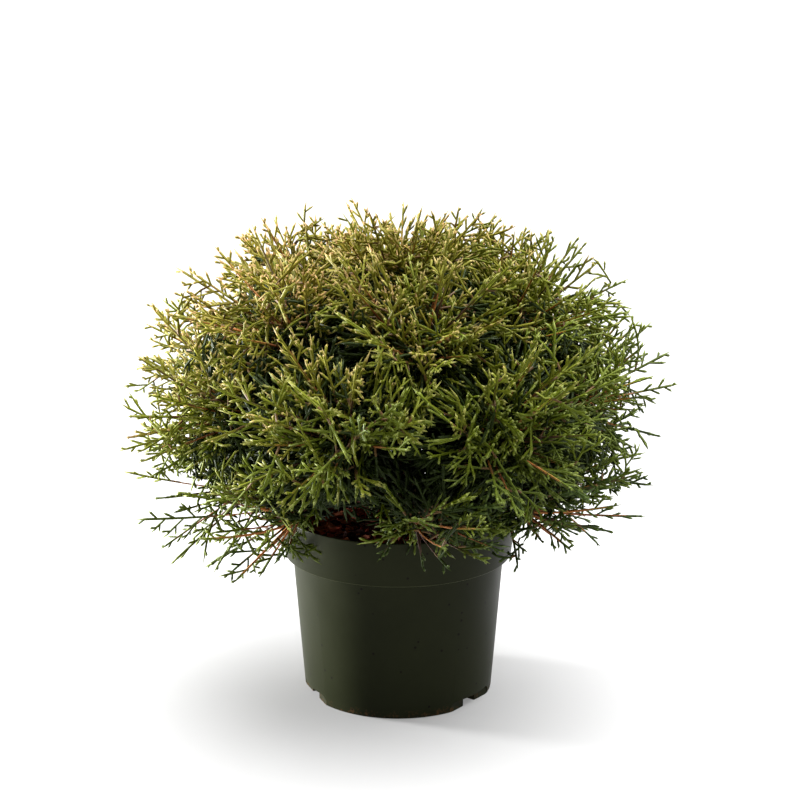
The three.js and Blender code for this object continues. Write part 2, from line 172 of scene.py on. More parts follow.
class WoodSettings(bpy.types.PropertyGroup):
    """Sizes, colours and relief of the trunk, boughs and twigs"""

    old_bark: colour("Old bark", "Colour of the trunk's bark", 66, 40, 26)
    bark_fissure: colour("Fissures", "Colour between the bark's strips", 48, 26, 18)
    young_bark: colour("Young bark", "Colour of the young twigs", 134, 75, 34)
    fresh_bark: colour("Fresh bark", "Colour of the youngest twigs", 172, 108, 52)
    relief: number("Relief", "Depth of the bark's strips against the radius", 0.16, min=0, max=0.5)
    twigs: whole_number("Twigs", "Twigs tried for in each mass of foliage", 240)
    twig_radius: length("Twig radius", "Radius of a twig at its foot", 0.0011)


class FoliageSettings(bpy.types.PropertyGroup):
    """Sizes and colours of the shoots"""

    thread_radius: length("Thread radius", "Radius of a green thread", 0.00112)
    longest_shoot: length("Longest shoot", "Length of the lowest shoot of a twig", 0.085)
    shortest_shoot: length("Shortest shoot", "Length of the last shoot of a twig", 0.046)
    spacing: length("Spacing", "Distance between shoots along their twig", 0.0088)
    # Painted shade: the dark tint of the threads that end deep inside the crown
    shade: colour("Shade", "Threads inside the crown", 26, 34, 9)
    # Deep green at the right and bronze at the left are partly painted shade and light, from the key light at the
    # left
    deep: colour("Deep green", "Threads low down and at the right", 45, 60, 9)
    fresh: colour("Fresh green", "Threads of the middle", 92, 103, 17)
    bronze: colour("Bronze", "Threads of the top", 125, 117, 38)
    deep_tip: colour("Deep tips", "Thread tips low down and at the right", 74, 91, 32)
    fresh_tip: colour("Fresh tips", "Thread tips of the middle", 126, 135, 58)
    bronze_tip: colour("Bronze tips", "Thread tips of the top", 167, 136, 82)


class StageSettings(bpy.types.PropertyGroup):
    """Camera, floor and light"""

    camera_distance: length("Camera distance", "Level distance from the pot's axis", 1.456)
    camera_height: length("Camera height", "Height of the camera over the floor", 0.611)
    camera_aside: length("Camera aside", "How far the camera stands to the right", 0.00146)
    camera_pitch: number("Pitch", "How far the camera looks down", math.radians(14.33), subtype="ANGLE")
    lens: number("Lens", "Focal length on a 36 mm sensor", 85.4, subtype="DISTANCE_CAMERA")
    ceiling: number("Ceiling light", "Strength of the wide light above", 10.2)
    key: number("Key light", "Power of the light at the left", 130, subtype="POWER")
    rim: number("Rim light", "Power of the light at the right", 4, subtype="POWER")
    sky: number("Surroundings", "Strength of the pale surroundings", 0.05)
    floor: colour("Floor", "Colour of the floor", 157, 157, 157)
    floor_glow: number("Floor glow", "Light that the floor gives back", 0.25)


SETTINGS = {
    "pot": PotSettings,
    "mulch": MulchSettings,
    "wood": WoodSettings,
    "foliage": FoliageSettings,
    "stage": StageSettings,
}


# Shader nodes
def add_node(tree, kind, inputs=None, **values):
    """A node with its settings and its inputs, given by name or number: a value, or an output to link."""
    node = tree.nodes.new(kind)
    for name, value in values.items():
        setattr(node, name, value)
    for key, value in (inputs or {}).items():
        if isinstance(value, bpy.types.NodeSocket):
            tree.links.new(value, node.inputs[key])
        else:
            node.inputs[key].default_value = value
    return node


def rgba(value):
    return (*value, 1.0)


def mixed(tree, factor, first, second):
    """The output of a colour mix. The factor and the colours are values or outputs."""
    first, second = (c if isinstance(c, bpy.types.NodeSocket) else rgba(c) for c in (first, second))
    return add_node(tree, "ShaderNodeMix", {0: factor, 6: first, 7: second}, data_type="RGBA").outputs[2]


def worked_out(tree, operation, first, second=0.0, **values):
    """The output of a sum on two values or outputs."""
    return add_node(tree, "ShaderNodeMath", {0: first, 1: second}, operation=operation, **values).outputs[0]


def ranged(tree, value, low, high, to_low=0.0, to_high=1.0):
    """A value carried from one range to another and held within it."""
    return add_node(tree, "ShaderNodeMapRange", {0: value, 1: low, 2: high, 3: to_low, 4: to_high}).outputs[0]


def placed(tree, group, **inputs):
    """The outputs of a node group in a material, with these inputs."""
    return add_node(tree, "ShaderNodeGroup", inputs, node_tree=group).outputs


def new_group(name, inputs, outputs):
    """An empty node group with a place, float inputs (name: default) and float outputs."""
    group = bpy.data.node_groups.new(name, "ShaderNodeTree")
    group.interface.new_socket(name="Place", in_out="INPUT", socket_type="NodeSocketVector")
    for label, default in inputs.items():
        socket = group.interface.new_socket(name=label, in_out="INPUT", socket_type="NodeSocketFloat")
        socket.default_value = default
    for label in outputs:
        group.interface.new_socket(name=label, in_out="OUTPUT", socket_type="NodeSocketFloat")
    return group, group.nodes.new("NodeGroupInput").outputs, group.nodes.new("NodeGroupOutput").inputs


def grain_group():
    """Coarse and fine noise together: a mask for colour and a height for relief."""
    if "grain" in bpy.data.node_groups:
        return bpy.data.node_groups["grain"]
    group, given, out = new_group("grain", {"Coarse": 30.0, "Fine": 900.0, "Share": 0.4}, ("Mask", "Height"))
    noises = []
    for scale, detail in (("Coarse", 5.0), ("Fine", 2.0)):
        inputs = {"Vector": given["Place"], "Scale": given[scale], "Detail": detail}
        noises.append(add_node(group, "ShaderNodeTexNoise", inputs).outputs[0])
    coarse, fine = noises
    joined = add_node(group, "ShaderNodeMix", {0: given["Share"], 2: coarse, 3: fine}).outputs[0]
    group.links.new(ranged(group, coarse, 0.35, 0.65), out["Mask"])
    group.links.new(joined, out["Height"])
    return group


def specks_group():
    """Small scattered specks: one in each of a share of a Voronoi pattern's cells."""
    if "specks" in bpy.data.node_groups:
        return bpy.data.node_groups["specks"]
    group, given, out = new_group("specks", {"Scale": 120.0, "Share": 0.1, "Size": 0.12}, ("Mask",))
    cells = add_node(group, "ShaderNodeTexVoronoi", {"Vector": given["Place"], "Scale": given["Scale"]})
    chosen = worked_out(group, "LESS_THAN", cells.outputs["Color"], given["Share"])
    near = worked_out(group, "LESS_THAN", cells.outputs["Distance"], given["Size"])
    group.links.new(worked_out(group, "MULTIPLY", chosen, near), out["Mask"])
    return group


def new_material(name, roughness, specular=0.5):
    """A material with its node tree, its Principled shader and the Object coordinates."""
    material = bpy.data.materials.new(name)
    material.use_nodes = True
    tree = material.node_tree
    shader = tree.nodes["Principled BSDF"]
    shader.inputs["Roughness"].default_value = roughness
    shader.inputs["Specular IOR Level"].default_value = specular
    place = tree.nodes.new("ShaderNodeTexCoord").outputs["Object"]
    return material, tree, shader, place


def set_bump(tree, shader, height, strength, distance):
    bump = add_node(tree, "ShaderNodeBump", {"Height": height, "Strength": strength, "Distance": distance})
    tree.links.new(bump.outputs[0], shader.inputs["Normal"])


HIGHLIGHT_HALF_WIDTH = 0.0007  # half the width of the painted highlight line at the band's foot
SPLASH_HEIGHT = 0.008


def pot_material(pot):
    """Matt moulded plastic: a painted highlight along the band's foot edge, dusty and splashed towards the foot,
    with specks of soil.
    """
    material, tree, shader, place = new_material("pot_plastic", 0.45, 0.06)
    grain = placed(tree, grain_group(), Place=place, Coarse=14.0, Fine=1600.0, Share=0.5)
    height = add_node(tree, "ShaderNodeSeparateXYZ", {0: place}).outputs[2]
    tone = ranged(tree, grain["Mask"], 0.0, 1.0, 0.0, 0.07)
    base = mixed(tree, tone, pot.plastic, pot.scuffs_and_highlight)

    # Painted highlight: a thin pale line round the band's foot edge, where the light catches it
    away = worked_out(tree, "SUBTRACT", height, pot.height - pot.band_height + NECK_FILLET)
    highlighted = ranged(tree, worked_out(tree, "ABSOLUTE", away), 0.0002, HIGHLIGHT_HALF_WIDTH, 0.55, 0.0)
    base = mixed(tree, highlighted, base, pot.scuffs_and_highlight)

    splash = placed(tree, grain_group(), Place=place, Coarse=90.0, Fine=500.0, Share=0.6)
    low = ranged(tree, height, 0.0, SPLASH_HEIGHT, 0.5, 0.0)
    splashed = worked_out(tree, "MULTIPLY", low, ranged(tree, splash["Height"], 0.53, 0.64))
    base = mixed(tree, splashed, base, pot.dust)

    small = placed(tree, specks_group(), Place=place, Scale=150.0, Share=0.28, Size=0.15)
    large = placed(tree, specks_group(), Place=place, Scale=80.0, Share=0.2, Size=0.06)
    base = mixed(tree, small["Mask"], base, pot.dirt)
    base = mixed(tree, large["Mask"], base, pot.dust)
    tree.links.new(base, shader.inputs["Base Color"])
    rough = ranged(tree, grain["Mask"], 0.0, 1.0, 0.38, 0.5)
    tree.links.new(worked_out(tree, "ADD", rough, splashed, use_clamp=True), shader.inputs["Roughness"])
    set_bump(tree, shader, grain["Height"], 0.12, 0.0004)
    return material


def mulch_material(mulch):
    """Damp mulch between the chips."""
    material, tree, shader, place = new_material("bark_mulch", 0.9, 0.3)
    grain = placed(tree, grain_group(), Place=place, Coarse=140.0, Fine=700.0, Share=0.5)
    flecks = ranged(tree, grain["Height"], 0.5, 0.64)
    tree.links.new(mixed(tree, flecks, mulch.dark_bark, mulch.red_bark), shader.inputs["Base Color"])
    set_bump(tree, shader, grain["Height"], 0.9, 0.002)
    return material


def bark_material(wood):
    """Thin stringy bark: paler strips over dark fissures."""
    material, tree, shader, place = new_material("old_bark", 0.85, 0.3)
    drawn_out = add_node(tree, "ShaderNodeMapping", {"Vector": place, "Scale": (1.0, 1.0, 0.18)}).outputs[0]
    grain = placed(tree, grain_group(), Place=drawn_out, Coarse=420.0, Fine=1500.0, Share=0.3)
    strips = ranged(tree, grain["Height"], 0.42, 0.58)
    tree.links.new(mixed(tree, strips, wood.bark_fissure, wood.old_bark), shader.inputs["Base Color"])
    set_bump(tree, shader, grain["Height"], 0.7, 0.001)
    return material


def plain_material(name, value, roughness, specular=0.5):
    """One tint. Tints that have a place are dealt out by chip, twig or spray."""
    material, _, shader, _ = new_material(name, roughness, specular)
    shader.inputs["Base Color"].default_value = rgba(value)
    return material


# Meshes
SAME_PLACE = 1e-6


def finish_piece(name, mesh, materials, nodes=()):
    """Links a mesh as a piece that rides on the body, has a slot's finish and stands for CAD nodes."""
    for material in materials:
        mesh.materials.append(material)
    piece = bpy.data.objects.new(name, mesh)
    bpy.context.scene.collection.objects.link(piece)
    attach(piece, BODY)
    if nodes:
        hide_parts(*nodes)


def mesh_from_bmesh(bm, name, smooth=True):
    bmesh.ops.recalc_face_normals(bm, faces=bm.faces)
    for face in bm.faces:
        face.smooth = smooth
    mesh = bpy.data.meshes.new(name)
    bm.to_mesh(mesh)
    bm.free()
    return mesh


def open_edges(bm):
    return [edge for edge in bm.edges if edge.is_boundary]


class Pile:
    """Many small shapes of triangles, each triangle with its material's number, joined into one mesh."""

    def __init__(self):
        self.shapes, self.total = [], 0

    def add(self, points, triangles, kinds):
        self.shapes.append((points, triangles + self.total, kinds))
        self.total += len(points)

    def mesh(self, name):
        """The joined mesh, smooth all over."""
        points, triangles, kinds = (np.concatenate(part) for part in zip(*self.shapes, strict=True))
        mesh = bpy.data.meshes.new(name)
        count = len(triangles)
        mesh.vertices.add(len(points))
        mesh.vertices.foreach_set("co", np.ascontiguousarray(points, np.float32).ravel())
        mesh.loops.add(3 * count)
        mesh.loops.foreach_set("vertex_index", np.ascontiguousarray(triangles, np.int32).ravel())
        mesh.polygons.add(count)
        mesh.polygons.foreach_set("loop_start", np.arange(0, 3 * count, 3, dtype=np.int32))
        mesh.polygons.foreach_set("material_index", np.ascontiguousarray(kinds, np.int32))
        mesh.polygons.foreach_set("use_smooth", np.ones(count, bool))
        mesh.update(calc_edges=True)
        mesh.validate()
        return mesh


def between(ends, share):
    """The value so far from one end to the other."""
    return ends[0] + (ends[1] - ends[0]) * share


def normalized(vectors):
    return vectors / np.linalg.norm(vectors, axis=-1, keepdims=True)


def square_to(direction, side):
    """Unit vectors square to directions, as near to a wanted side as can be."""
    square = side - (side * direction).sum(-1, keepdims=True) * direction
    flat = (square * square).sum(-1, keepdims=True) < 1e-6
    aside = np.array((1.0, 0.0, 0.0)) - direction[..., :1] * direction
    return normalized(np.where(flat, aside, square))


def turned(vectors, axis, angle):
    """Unit vectors square to an axis, turned about it."""
    angle = np.asarray(angle)[..., None]
    return vectors * np.cos(angle) + np.cross(axis, vectors) * np.sin(angle)


class Arc:
    """Quadratic curves through arrays of points: each leaves its start towards a bend and ends at its end."""

    def __init__(self, start, bend, end):
        self.start, self.bend, self.end = (np.asarray(p, float) for p in (start, bend, end))

    def point(self, t):
        t = np.asarray(t, float)[..., None]
        return (1 - t) ** 2 * self.start + 2 * t * (1 - t) * self.bend + t * t * self.end

    def tangent(self, t):
        t = np.asarray(t, float)[..., None]
        return normalized((1 - t) * (self.bend - self.start) + t * (self.end - self.bend))

    def length(self, steps=16):
        points = self.point(np.linspace(0, 1, steps + 1))
        return np.linalg.norm(np.diff(points, axis=0), axis=1).sum()


# Growth: the rule of the solids
class SeededNumbers:
    """Numbers from 0 to 1 by a 32-bit linear congruential rule, the same as the solids' own."""

    def __init__(self, seed):
        self.state = seed

    def __call__(self):
        self.state = (self.state * 1664525 + 1013904223) % 2**32
        return self.state / 2**32


def pointing(azimuth, elevation):
    a, e = math.radians(azimuth), math.radians(elevation)
    return np.array((math.sin(a) * math.cos(e), -math.cos(a) * math.cos(e), math.sin(e)))


def crown_reach(direction):
    """How far the crown reaches from its heart along unit vectors."""
    x, y, z = np.moveaxis(direction, -1, 0)
    run = np.hypot(x, y)
    level_x, level_y = x / np.maximum(run, 1e-9), y / np.maximum(run, 1e-9)
    hang = HANG - HANGS_LEFT * level_x + HANGS_BACK * level_y + HANGS_ASIDE * (level_x**2 - level_y**2)
    upright = np.abs(z) / np.where(z > 0, RISE, hang)
    return ((run / SPREAD) ** SQUARENESS + upright**SQUARENESS) ** (-1 / SQUARENESS)


def share_of_reach(points):
    """How far out points lie, as shares of the crown's reach in their direction."""
    arm = points - HEART
    distance = np.linalg.norm(arm, axis=1)
    return distance / crown_reach(arm / distance[:, None])


def trunk_point(t):
    sway = TRUNK["sway"] * math.sin(math.pi * t) ** 2
    return np.array((sway, -sway * math.cos(math.pi * t), between((GROUND_LEVEL, TRUNK["top"]), t)))


def trunk_radius(t):
    height = t * (TRUNK["top"] - GROUND_LEVEL)
    flare = max(0.0, 1 - height / TRUNK["flare_height"]) ** 2
    shaft = between((TRUNK["foot_radius"], TRUNK["tip_radius"]), t)
    return shaft + (TRUNK["flare_radius"] - TRUNK["foot_radius"]) * flare


class Mass:
    """One mass of foliage: the direction that it points in and the space that it keeps to."""

    def __init__(self, name, axis, droop, leaves=None):
        self.name, self.axis, self.droop, self.leaves = name, axis, droop, leaves

    def settle(self, index, others):
        self.random = SeededNumbers(CROWN_SEED + index)
        self.reach = 1 + UNEVENNESS * (2 * self.random() - 1)
        self.edges = normalized(np.array([self.axis - other.axis for other in others]))

    def on_axis(self, share):
        return HEART + self.axis * share * self.reach * crown_reach(self.axis)

    def depth(self, points):
        """How far inside the mass's space points lie."""
        return ((points - HEART) @ self.edges.T).min(-1)

    def stem(self):
        start = self.on_axis(STEM_START)
        if self.leaves is None:
            start = trunk_point(1.0) + CLEARANCE * UP
        return Arc(start, self.on_axis((STEM_START + STEM_END) / 2), self.on_axis(STEM_END) - self.droop * UP)

    def bough(self):
        foot = trunk_point((self.leaves - GROUND_LEVEL) / (TRUNK["top"] - GROUND_LEVEL))
        stem = self.stem()
        end = stem.point(0.0)
        return Arc(foot, end - stem.tangent(0.0) * BOUGH["arch"] * np.linalg.norm(end - foot), end)


def lay_out():
    """Every mass, in the order of the solids."""
    masses = []
    for name, count, elevation, turn, step, feet, droop in RINGS:
        for place in range(count):
            axis = pointing(turn + 360 * place / count, elevation)
            leaves = feet[0] + (feet[1] - feet[0]) * (place * step % count) / (count - 1)
            masses.append(Mass(f"{name}_{place + 1}", axis, droop, leaves))
    masses.append(Mass("top", UP.copy(), 0.0))
    for index, mass in enumerate(masses):
        mass.settle(index, [other for other in masses if other is not mass])
    return masses


def beside_pot(points):
    """How far out beside the pot's rim points lie."""
    return np.hypot(points[..., 0], points[..., 1]) - POT_TOP.x


def clear_of_pot(points):
    aside, height = beside_pot(points), points[..., 2]
    beside = (aside > POT_MARGIN) & (height > SKIRT_TOP - SKIRT_SLOPE * aside)
    return beside | (height > POT_TOP.z + POT_MARGIN)


def share_grown(points):
    """The share of the twigs and shoots that grow where they end: all of them, but fewer in the skirt."""
    under = THIN_BELOW + THIN_SLOPE * np.maximum(beside_pot(points), 0.0) - points[..., 2]
    return np.clip(1.0 - under / THIN_DEPTH, THIN_SHARE, 1.0)


def in_opening(points):
    """Whether points lie in the gap between the lowest masses at the front, where the mulch shows."""
    foot_x, foot_y, foot_z = OPENING["foot"]
    run = foot_y - points[..., 1]
    across = (points[..., 0] - foot_x) / OPENING["half_width"]
    up = (points[..., 2] - foot_z - OPENING["slope"] * run) / OPENING["half_height"]
    return (run >= 0) & (np.hypot(across, up) < 1)


def spray_ends(mass):
    """A sequence of ends round the mass's axis, out to the crown's reach, each with its lean.

    The first ones are the solids' own and lie evenly; the finer ones after them crowd towards the edges.
    """
    across = square_to(mass.axis, np.array((-mass.axis[1], mass.axis[0], 0.01)))
    upward = np.cross(mass.axis, across)
    n = 0
    while True:
        leaning, turning = ((0.5 + n * step) % 1 for step in EVEN_STEPS)
        leaning **= 0.5 if n < FIRST_TWIGS else CROWDING
        lean, turn = math.radians(SPRAY_SPREAD) * leaning, 2 * math.pi * turning
        direction = normalized(
            mass.axis * math.cos(lean)
            + across * math.sin(lean) * math.cos(turn)
            + upward * math.sin(lean) * math.sin(turn)
        )
        ragged = 1 - (RAGGEDNESS * mass.random() ** 2 if n < FIRST_TWIGS else FINE_RAGGEDNESS * mass.random())
        yield HEART + direction * ragged * mass.reach * crown_reach(direction), leaning
        n += 1


def grow_twigs(mass, tries):
    """The mass's twigs, each its curve and its side: the solids' sprays and more by the same rule.

    Every third one ends deeper.
    """
    stem = mass.stem()
    checks = np.array((0.25, 0.5, 0.75, 1.0))
    twigs = []
    for index, (end, lean) in zip(range(tries), spray_ends(mass), strict=False):
        if index % 3 == 2:
            end = HEART + between(INNER_TWIGS, mass.random()) * (end - HEART)
        leaves = between(SPRAY_FEET, 1 - lean)
        foot = stem.point(leaves)
        arc = Arc(foot, foot + stem.tangent(leaves) * BOW * np.linalg.norm(end - foot), end)
        roll = math.pi * mass.random()
        points = arc.point(checks)
        fits = (mass.depth(points) > MARGIN) & clear_of_pot(points) & ~in_opening(points)
        thin = index >= FIRST_TWIGS and mass.random() > share_grown(end)
        if fits.all() and not thin:
            heading = arc.tangent(0.5)
            twigs.append((arc, turned(square_to(heading, UP), heading, roll)))
    return twigs


# Shoots: a twig's shoots at alternate sides, bent out and shortened until they fit
SHOOT_STRETCH = (0.14, 0.93)  # the part of a twig that its shoots stand on
FEWEST_SHOOTS, IN_STEP = 3, (0.2, 0.8)  # and where each one stands in its own step of the twig
SHOOT_ANGLES, ANGLE_SPREAD = (62, 36), 13  # from the twig's foot to its tip, in degrees
SHOOT_ROLL = 0.75
SHOOT_SIZES = (0.75, 1.12)  # the shares of their length that shoots come out at
LIFT_ABOVE, LIFT_BELOW, LIFTED = 0.22, 1.7, (-0.35, 1.0)  # how shoots rise over the heart and droop under it
HANGING = 1.1  # how far the shoots of the open skirt hang down
WANDER = 0.13
DEEPEST, DEEPENING = 0.45, 0.65  # how much deeper than the crown's reach shoots may end
TRIES, SHORTENED = 8, 0.9
TURN_OUT, TURN_BACK = 0.22, 0.3  # how a shoot turns that would leave its mass's space or the crown
CROSSING = 0.03
LEAST_SHOOT = 0.016
SHY_SHARE = 0.92  # the share of the shoots that keep out of the opening
LEAVES_ALONG, LEAVES_ASIDE, BENDS_AT = 0.62, 0.78, 0.46
LEADER_FOOT, LEADER_BEND = 0.7, 0.5
SIDE_ROLL = 0.5


def start_shoots(twigs, foliage, random):
    """Arrays over the shoots of some twigs: start, the twig's heading there, the way out, angle and size."""
    rows = []
    for arc, side in twigs:
        stretch = arc.length() * (SHOOT_STRETCH[1] - SHOOT_STRETCH[0])
        count = max(FEWEST_SHOOTS, round(stretch / foliage.spacing))
        place = (np.arange(count) + random.uniform(*IN_STEP, count)) / count
        t = between(SHOOT_STRETCH, place)
        heading = arc.tangent(t)
        roll = np.pi * (np.arange(count) % 2) + SHOOT_ROLL * random.normal(size=count)
        away = turned(square_to(heading, side[None]), heading, roll)
        angle = np.radians(between(SHOOT_ANGLES, place) + random.normal(0, ANGLE_SPREAD, count))
        size = between((foliage.longest_shoot, foliage.shortest_shoot), place)
        rows.append((arc.point(t), heading, away, angle, size * random.uniform(*SHOOT_SIZES, count)))
    return (np.concatenate(column) for column in zip(*rows, strict=True))


def grow_shoots(mass, twigs, foliage, random):
    """The curves and the sides of a mass's shoots, with a leading one at the tip of each twig."""
    start, heading, away, angle, size = start_shoots(twigs, foliage, random)
    aim = heading * np.cos(angle)[:, None] + away * np.sin(angle)[:, None]
    height = (start[:, 2] - HEART[2]) / RISE
    lift = np.where(height > 0, LIFT_ABOVE, LIFT_BELOW) * np.clip(height, *LIFTED)
    lift -= HANGING * (1.0 - share_grown(start))
    aim = normalized(aim + UP * lift[:, None] + random.normal(0, WANDER, aim.shape))
    shy = random.random(len(size)) < SHY_SHARE
    limit = mass.reach * (1.0 - DEEPEST * random.random(len(size)) ** DEEPENING)
    for _ in range(TRIES):
        end = start + aim * size[:, None]
        middle = (start + end) / 2
        too_far = share_of_reach(end) > limit
        fits = (mass.depth(end) > -CROSSING) & ~too_far & clear_of_pot(end) & clear_of_pot(middle)
        fits &= ~(shy & (in_opening(end) | in_opening(middle)))
        size = np.where(fits, size, SHORTENED * size)
        pull = np.where(too_far, -TURN_BACK, TURN_OUT)[:, None] * normalized(start - HEART)
        aim = np.where(fits[:, None], aim, normalized(aim + pull))
    keep = fits & (size > LEAST_SHOOT) & (random.random(len(size)) <= share_grown(end))
    start, heading, away, aim, size, end = (values[keep] for values in (start, heading, away, aim, size, end))
    leaving = normalized(LEAVES_ALONG * heading + LEAVES_ASIDE * away)
    bend = start + leaving * (BENDS_AT * size)[:, None]

    leader_start = np.array([arc.point(LEADER_FOOT) for arc, _ in twigs])
    leader_end = np.array([arc.end for arc, _ in twigs])
    reach = np.linalg.norm(leader_end - leader_start, axis=1, keepdims=True)
    leader_heading = np.array([arc.tangent(LEADER_FOOT) for arc, _ in twigs])
    leader_bend = leader_start + LEADER_BEND * reach * leader_heading
    start = np.concatenate((start, leader_start))
    bend = np.concatenate((bend, leader_bend))
    end = np.concatenate((end, leader_end))
    side = np.concatenate((square_to(aim, heading), [side for _, side in twigs]))
    heading = normalized(end - start)
    side = turned(square_to(heading, side), heading, SIDE_ROLL * random.normal(size=len(side)))
    return Arc(start, bend, end), side


# Templates: a shoot drawn flat, along +Y, to be bent along its curve
SHOOT_LENGTHS = (0.026, 0.038, 0.050, 0.064, 0.080)
SHOOT_VARIANTS = 3
STEM_KIND, BODY_KIND, TIP_KIND = 0, 1, 2
THREAD_STEP, FEWEST_STEPS = 0.009, 4
FOOT_RADIUS, SWELLING, POINT_RADIUS = 0.00085, 0.0002, 0.0005
GREEN_FROM, TIP_FROM = 0.12, 0.8  # the shares of a shoot where its brown foot ends and its tip starts
SIDE_SPACING = 0.0066
SIDES_FROM, SIDES_OVER = 0.12, 0.8  # where the side threads start, and the share that they take up
SIDE_STEP = (0.3, 0.4)  # in its own step a side thread stands at least here, and up to this much further
SIDE_REACH, FULL_REACH, FULL_SIZE = 0.005, 0.0115, 0.05
FULL_FROM, FULL_RATE, FULL_POWER = 0.25, 0.95, 0.7  # how side threads lengthen and then shorten up a shoot
SIDE_SIZES = (0.6, 1.25)
LONG_SHARE, LONGER = 0.22, 1.6  # some side threads are this much longer
SIDE_ANGLES, CLOSER_UP, SIDE_RISE = (34, 52), 8, 0.3
SIDE_NECK, SIDE_RADII = 0.74, (0.0007, 0.00105, 0.0004)
FORKED_FROM = 0.0145  # a longer side thread has two small threads of its own
FORKS, FORK_ANGLE = ((0.36, 1), (0.62, -1)), math.radians(40)
FORK_REACH, FORK_SHRINK, FORK_SIZES = 0.46, 0.22, (0.8, 1.2)
FORK_NECK, FORK_RADII = 0.7, (0.0006, 0.00095, 0.0004)
TWIG_RINGS, TWIG_SIDES, TWIG_TAPER, TWIG_KNOTS = 10, 5, 0.5, 0.06


def ring_matrix(centre, heading, radius, side):
    """Carries a unit circle in XY to a ring square to a heading."""
    z = heading.normalized()
    x = (side - side.dot(z) * z).normalized()
    turn = Matrix((x, z.cross(x), z)).transposed().to_4x4()
    return Matrix.Translation(centre) @ turn @ Matrix.Diagonal((radius, radius, radius, 1.0))


def draw_thread(bm, middle, points, radii, kinds, sides=3, side=Vector((0.0, 0.0, 1.0))):
    """A tube of rings through points, closed to its last point, with each stretch's material number."""
    headings = [points[min(i + 1, len(points) - 1)] - points[max(i - 1, 0)] for i in range(len(points))]
    matrices = [ring_matrix(p, h, r, side) for p, h, r in zip(points, headings, radii, strict=True)]
    verts = bmesh.ops.create_circle(bm, segments=sides, radius=1.0, matrix=matrices[0])["verts"]
    for vert in verts:
        vert[middle] = points[0]
    edges = list({edge for vert in verts for edge in vert.link_edges})
    for before, after, point, kind in zip(matrices, matrices[1:], points[1:], kinds, strict=False):
        grown = bmesh.ops.extrude_edge_only(bm, edges=edges)["geom"]
        verts = [item for item in grown if isinstance(item, bmesh.types.BMVert)]
        for item in grown:
            if isinstance(item, bmesh.types.BMFace):
                item.material_index = kind
        edges = [item for item in grown if isinstance(item, bmesh.types.BMEdge)]
        edges = [edge for edge in edges if set(edge.verts) <= set(verts)]
        bmesh.ops.transform(bm, matrix=after @ before.inverted(), verts=verts)
        for vert in verts:
            vert[middle] = point
    bmesh.ops.pointmerge(bm, verts=verts, merge_co=points[-1])


def points_and_triangles(bm):
    """A bmesh's vertices, and its faces as triangles of their numbers."""
    bmesh.ops.triangulate(bm, faces=bm.faces)
    bm.verts.index_update()
    triangles = np.array([[vert.index for vert in face.verts] for face in bm.faces])
    return np.array([vert.co for vert in bm.verts]), triangles


def template_arrays(bm, middle, length_of):
    """Middles and offsets of the vertices, with the middles as shares of the length, and the triangles."""
    points, triangles = points_and_triangles(bm)
    middles = np.array([vert[middle] for vert in bm.verts])
    kinds = np.array([face.material_index for face in bm.faces])
    bm.free()
    return middles / length_of, points - middles, triangles, kinds


def shoot_template(size, random):
    """A shoot of one size: a thread with side threads at alternate sides, the longer ones with their own."""
    bm = bmesh.new()
    middle = bm.verts.layers.float_vector.new("middle")
    shares = np.linspace(0, 1, max(FEWEST_STEPS, round(size / THREAD_STEP)) + 1)
    radii = [FOOT_RADIUS + SWELLING * share for share in shares]
    radii[-1] = POINT_RADIUS
    points = [Vector((0.0, size * share, 0.0)) for share in shares]
    kinds = [STEM_KIND if s < GREEN_FROM else BODY_KIND if s < TIP_FROM else TIP_KIND for s in shares[:-1]]
    draw_thread(bm, middle, points, radii, kinds)
    count = int(SIDES_OVER * size / SIDE_SPACING)
    for index in range(count):
        share = SIDES_FROM + SIDES_OVER * (index + SIDE_STEP[0] + SIDE_STEP[1] * random.random()) / count
        sign = 1 if index % 2 else -1
        fullness = math.sin(math.pi * min(1.0, FULL_FROM + FULL_RATE * share)) ** FULL_POWER
        reach = SIDE_REACH + FULL_REACH * fullness * min(1.0, size / FULL_SIZE)
        reach *= random.uniform(*SIDE_SIZES)
        if random.random() < LONG_SHARE:
            reach *= LONGER
        angle = math.radians(random.uniform(*SIDE_ANGLES) - CLOSER_UP * share)
        rise = random.uniform(-SIDE_RISE, SIDE_RISE)
        foot = Vector((0.0, size * share, 0.0))
        tip = foot + Vector((sign * math.sin(angle), math.cos(angle), rise)).normalized() * reach
        draw_thread(bm, middle, [foot, foot.lerp(tip, SIDE_NECK), tip], SIDE_RADII, [BODY_KIND, TIP_KIND])
        for part, turn in FORKS if reach > FORKED_FROM else ():
            fork = foot.lerp(tip, part)
            swing = angle + turn * FORK_ANGLE
            small = reach * (FORK_REACH - FORK_SHRINK * part) * random.uniform(*FORK_SIZES)
            end = fork + Vector((sign * math.sin(swing), math.cos(swing), rise)).normalized() * small
            draw_thread(bm, middle, [fork, fork.lerp(end, FORK_NECK), end], FORK_RADII, [BODY_KIND, TIP_KIND])
    return template_arrays(bm, middle, size)


def twig_template():
    """A straight tapering twig of unit radius and unit length, with a little swelling between its rings."""
    bm = bmesh.new()
    middle = bm.verts.layers.float_vector.new("middle")
    shares = np.linspace(0, 1, TWIG_RINGS)
    points = [Vector((0.0, share, 0.0)) for share in shares]
    radii = [(1.0 - TWIG_TAPER * share) * (1.0 + TWIG_KNOTS * (-1) ** i) for i, share in enumerate(shares)]
    draw_thread(bm, middle, points, radii, [0] * (TWIG_RINGS - 1), sides=TWIG_SIDES)
    return template_arrays(bm, middle, 1.0)


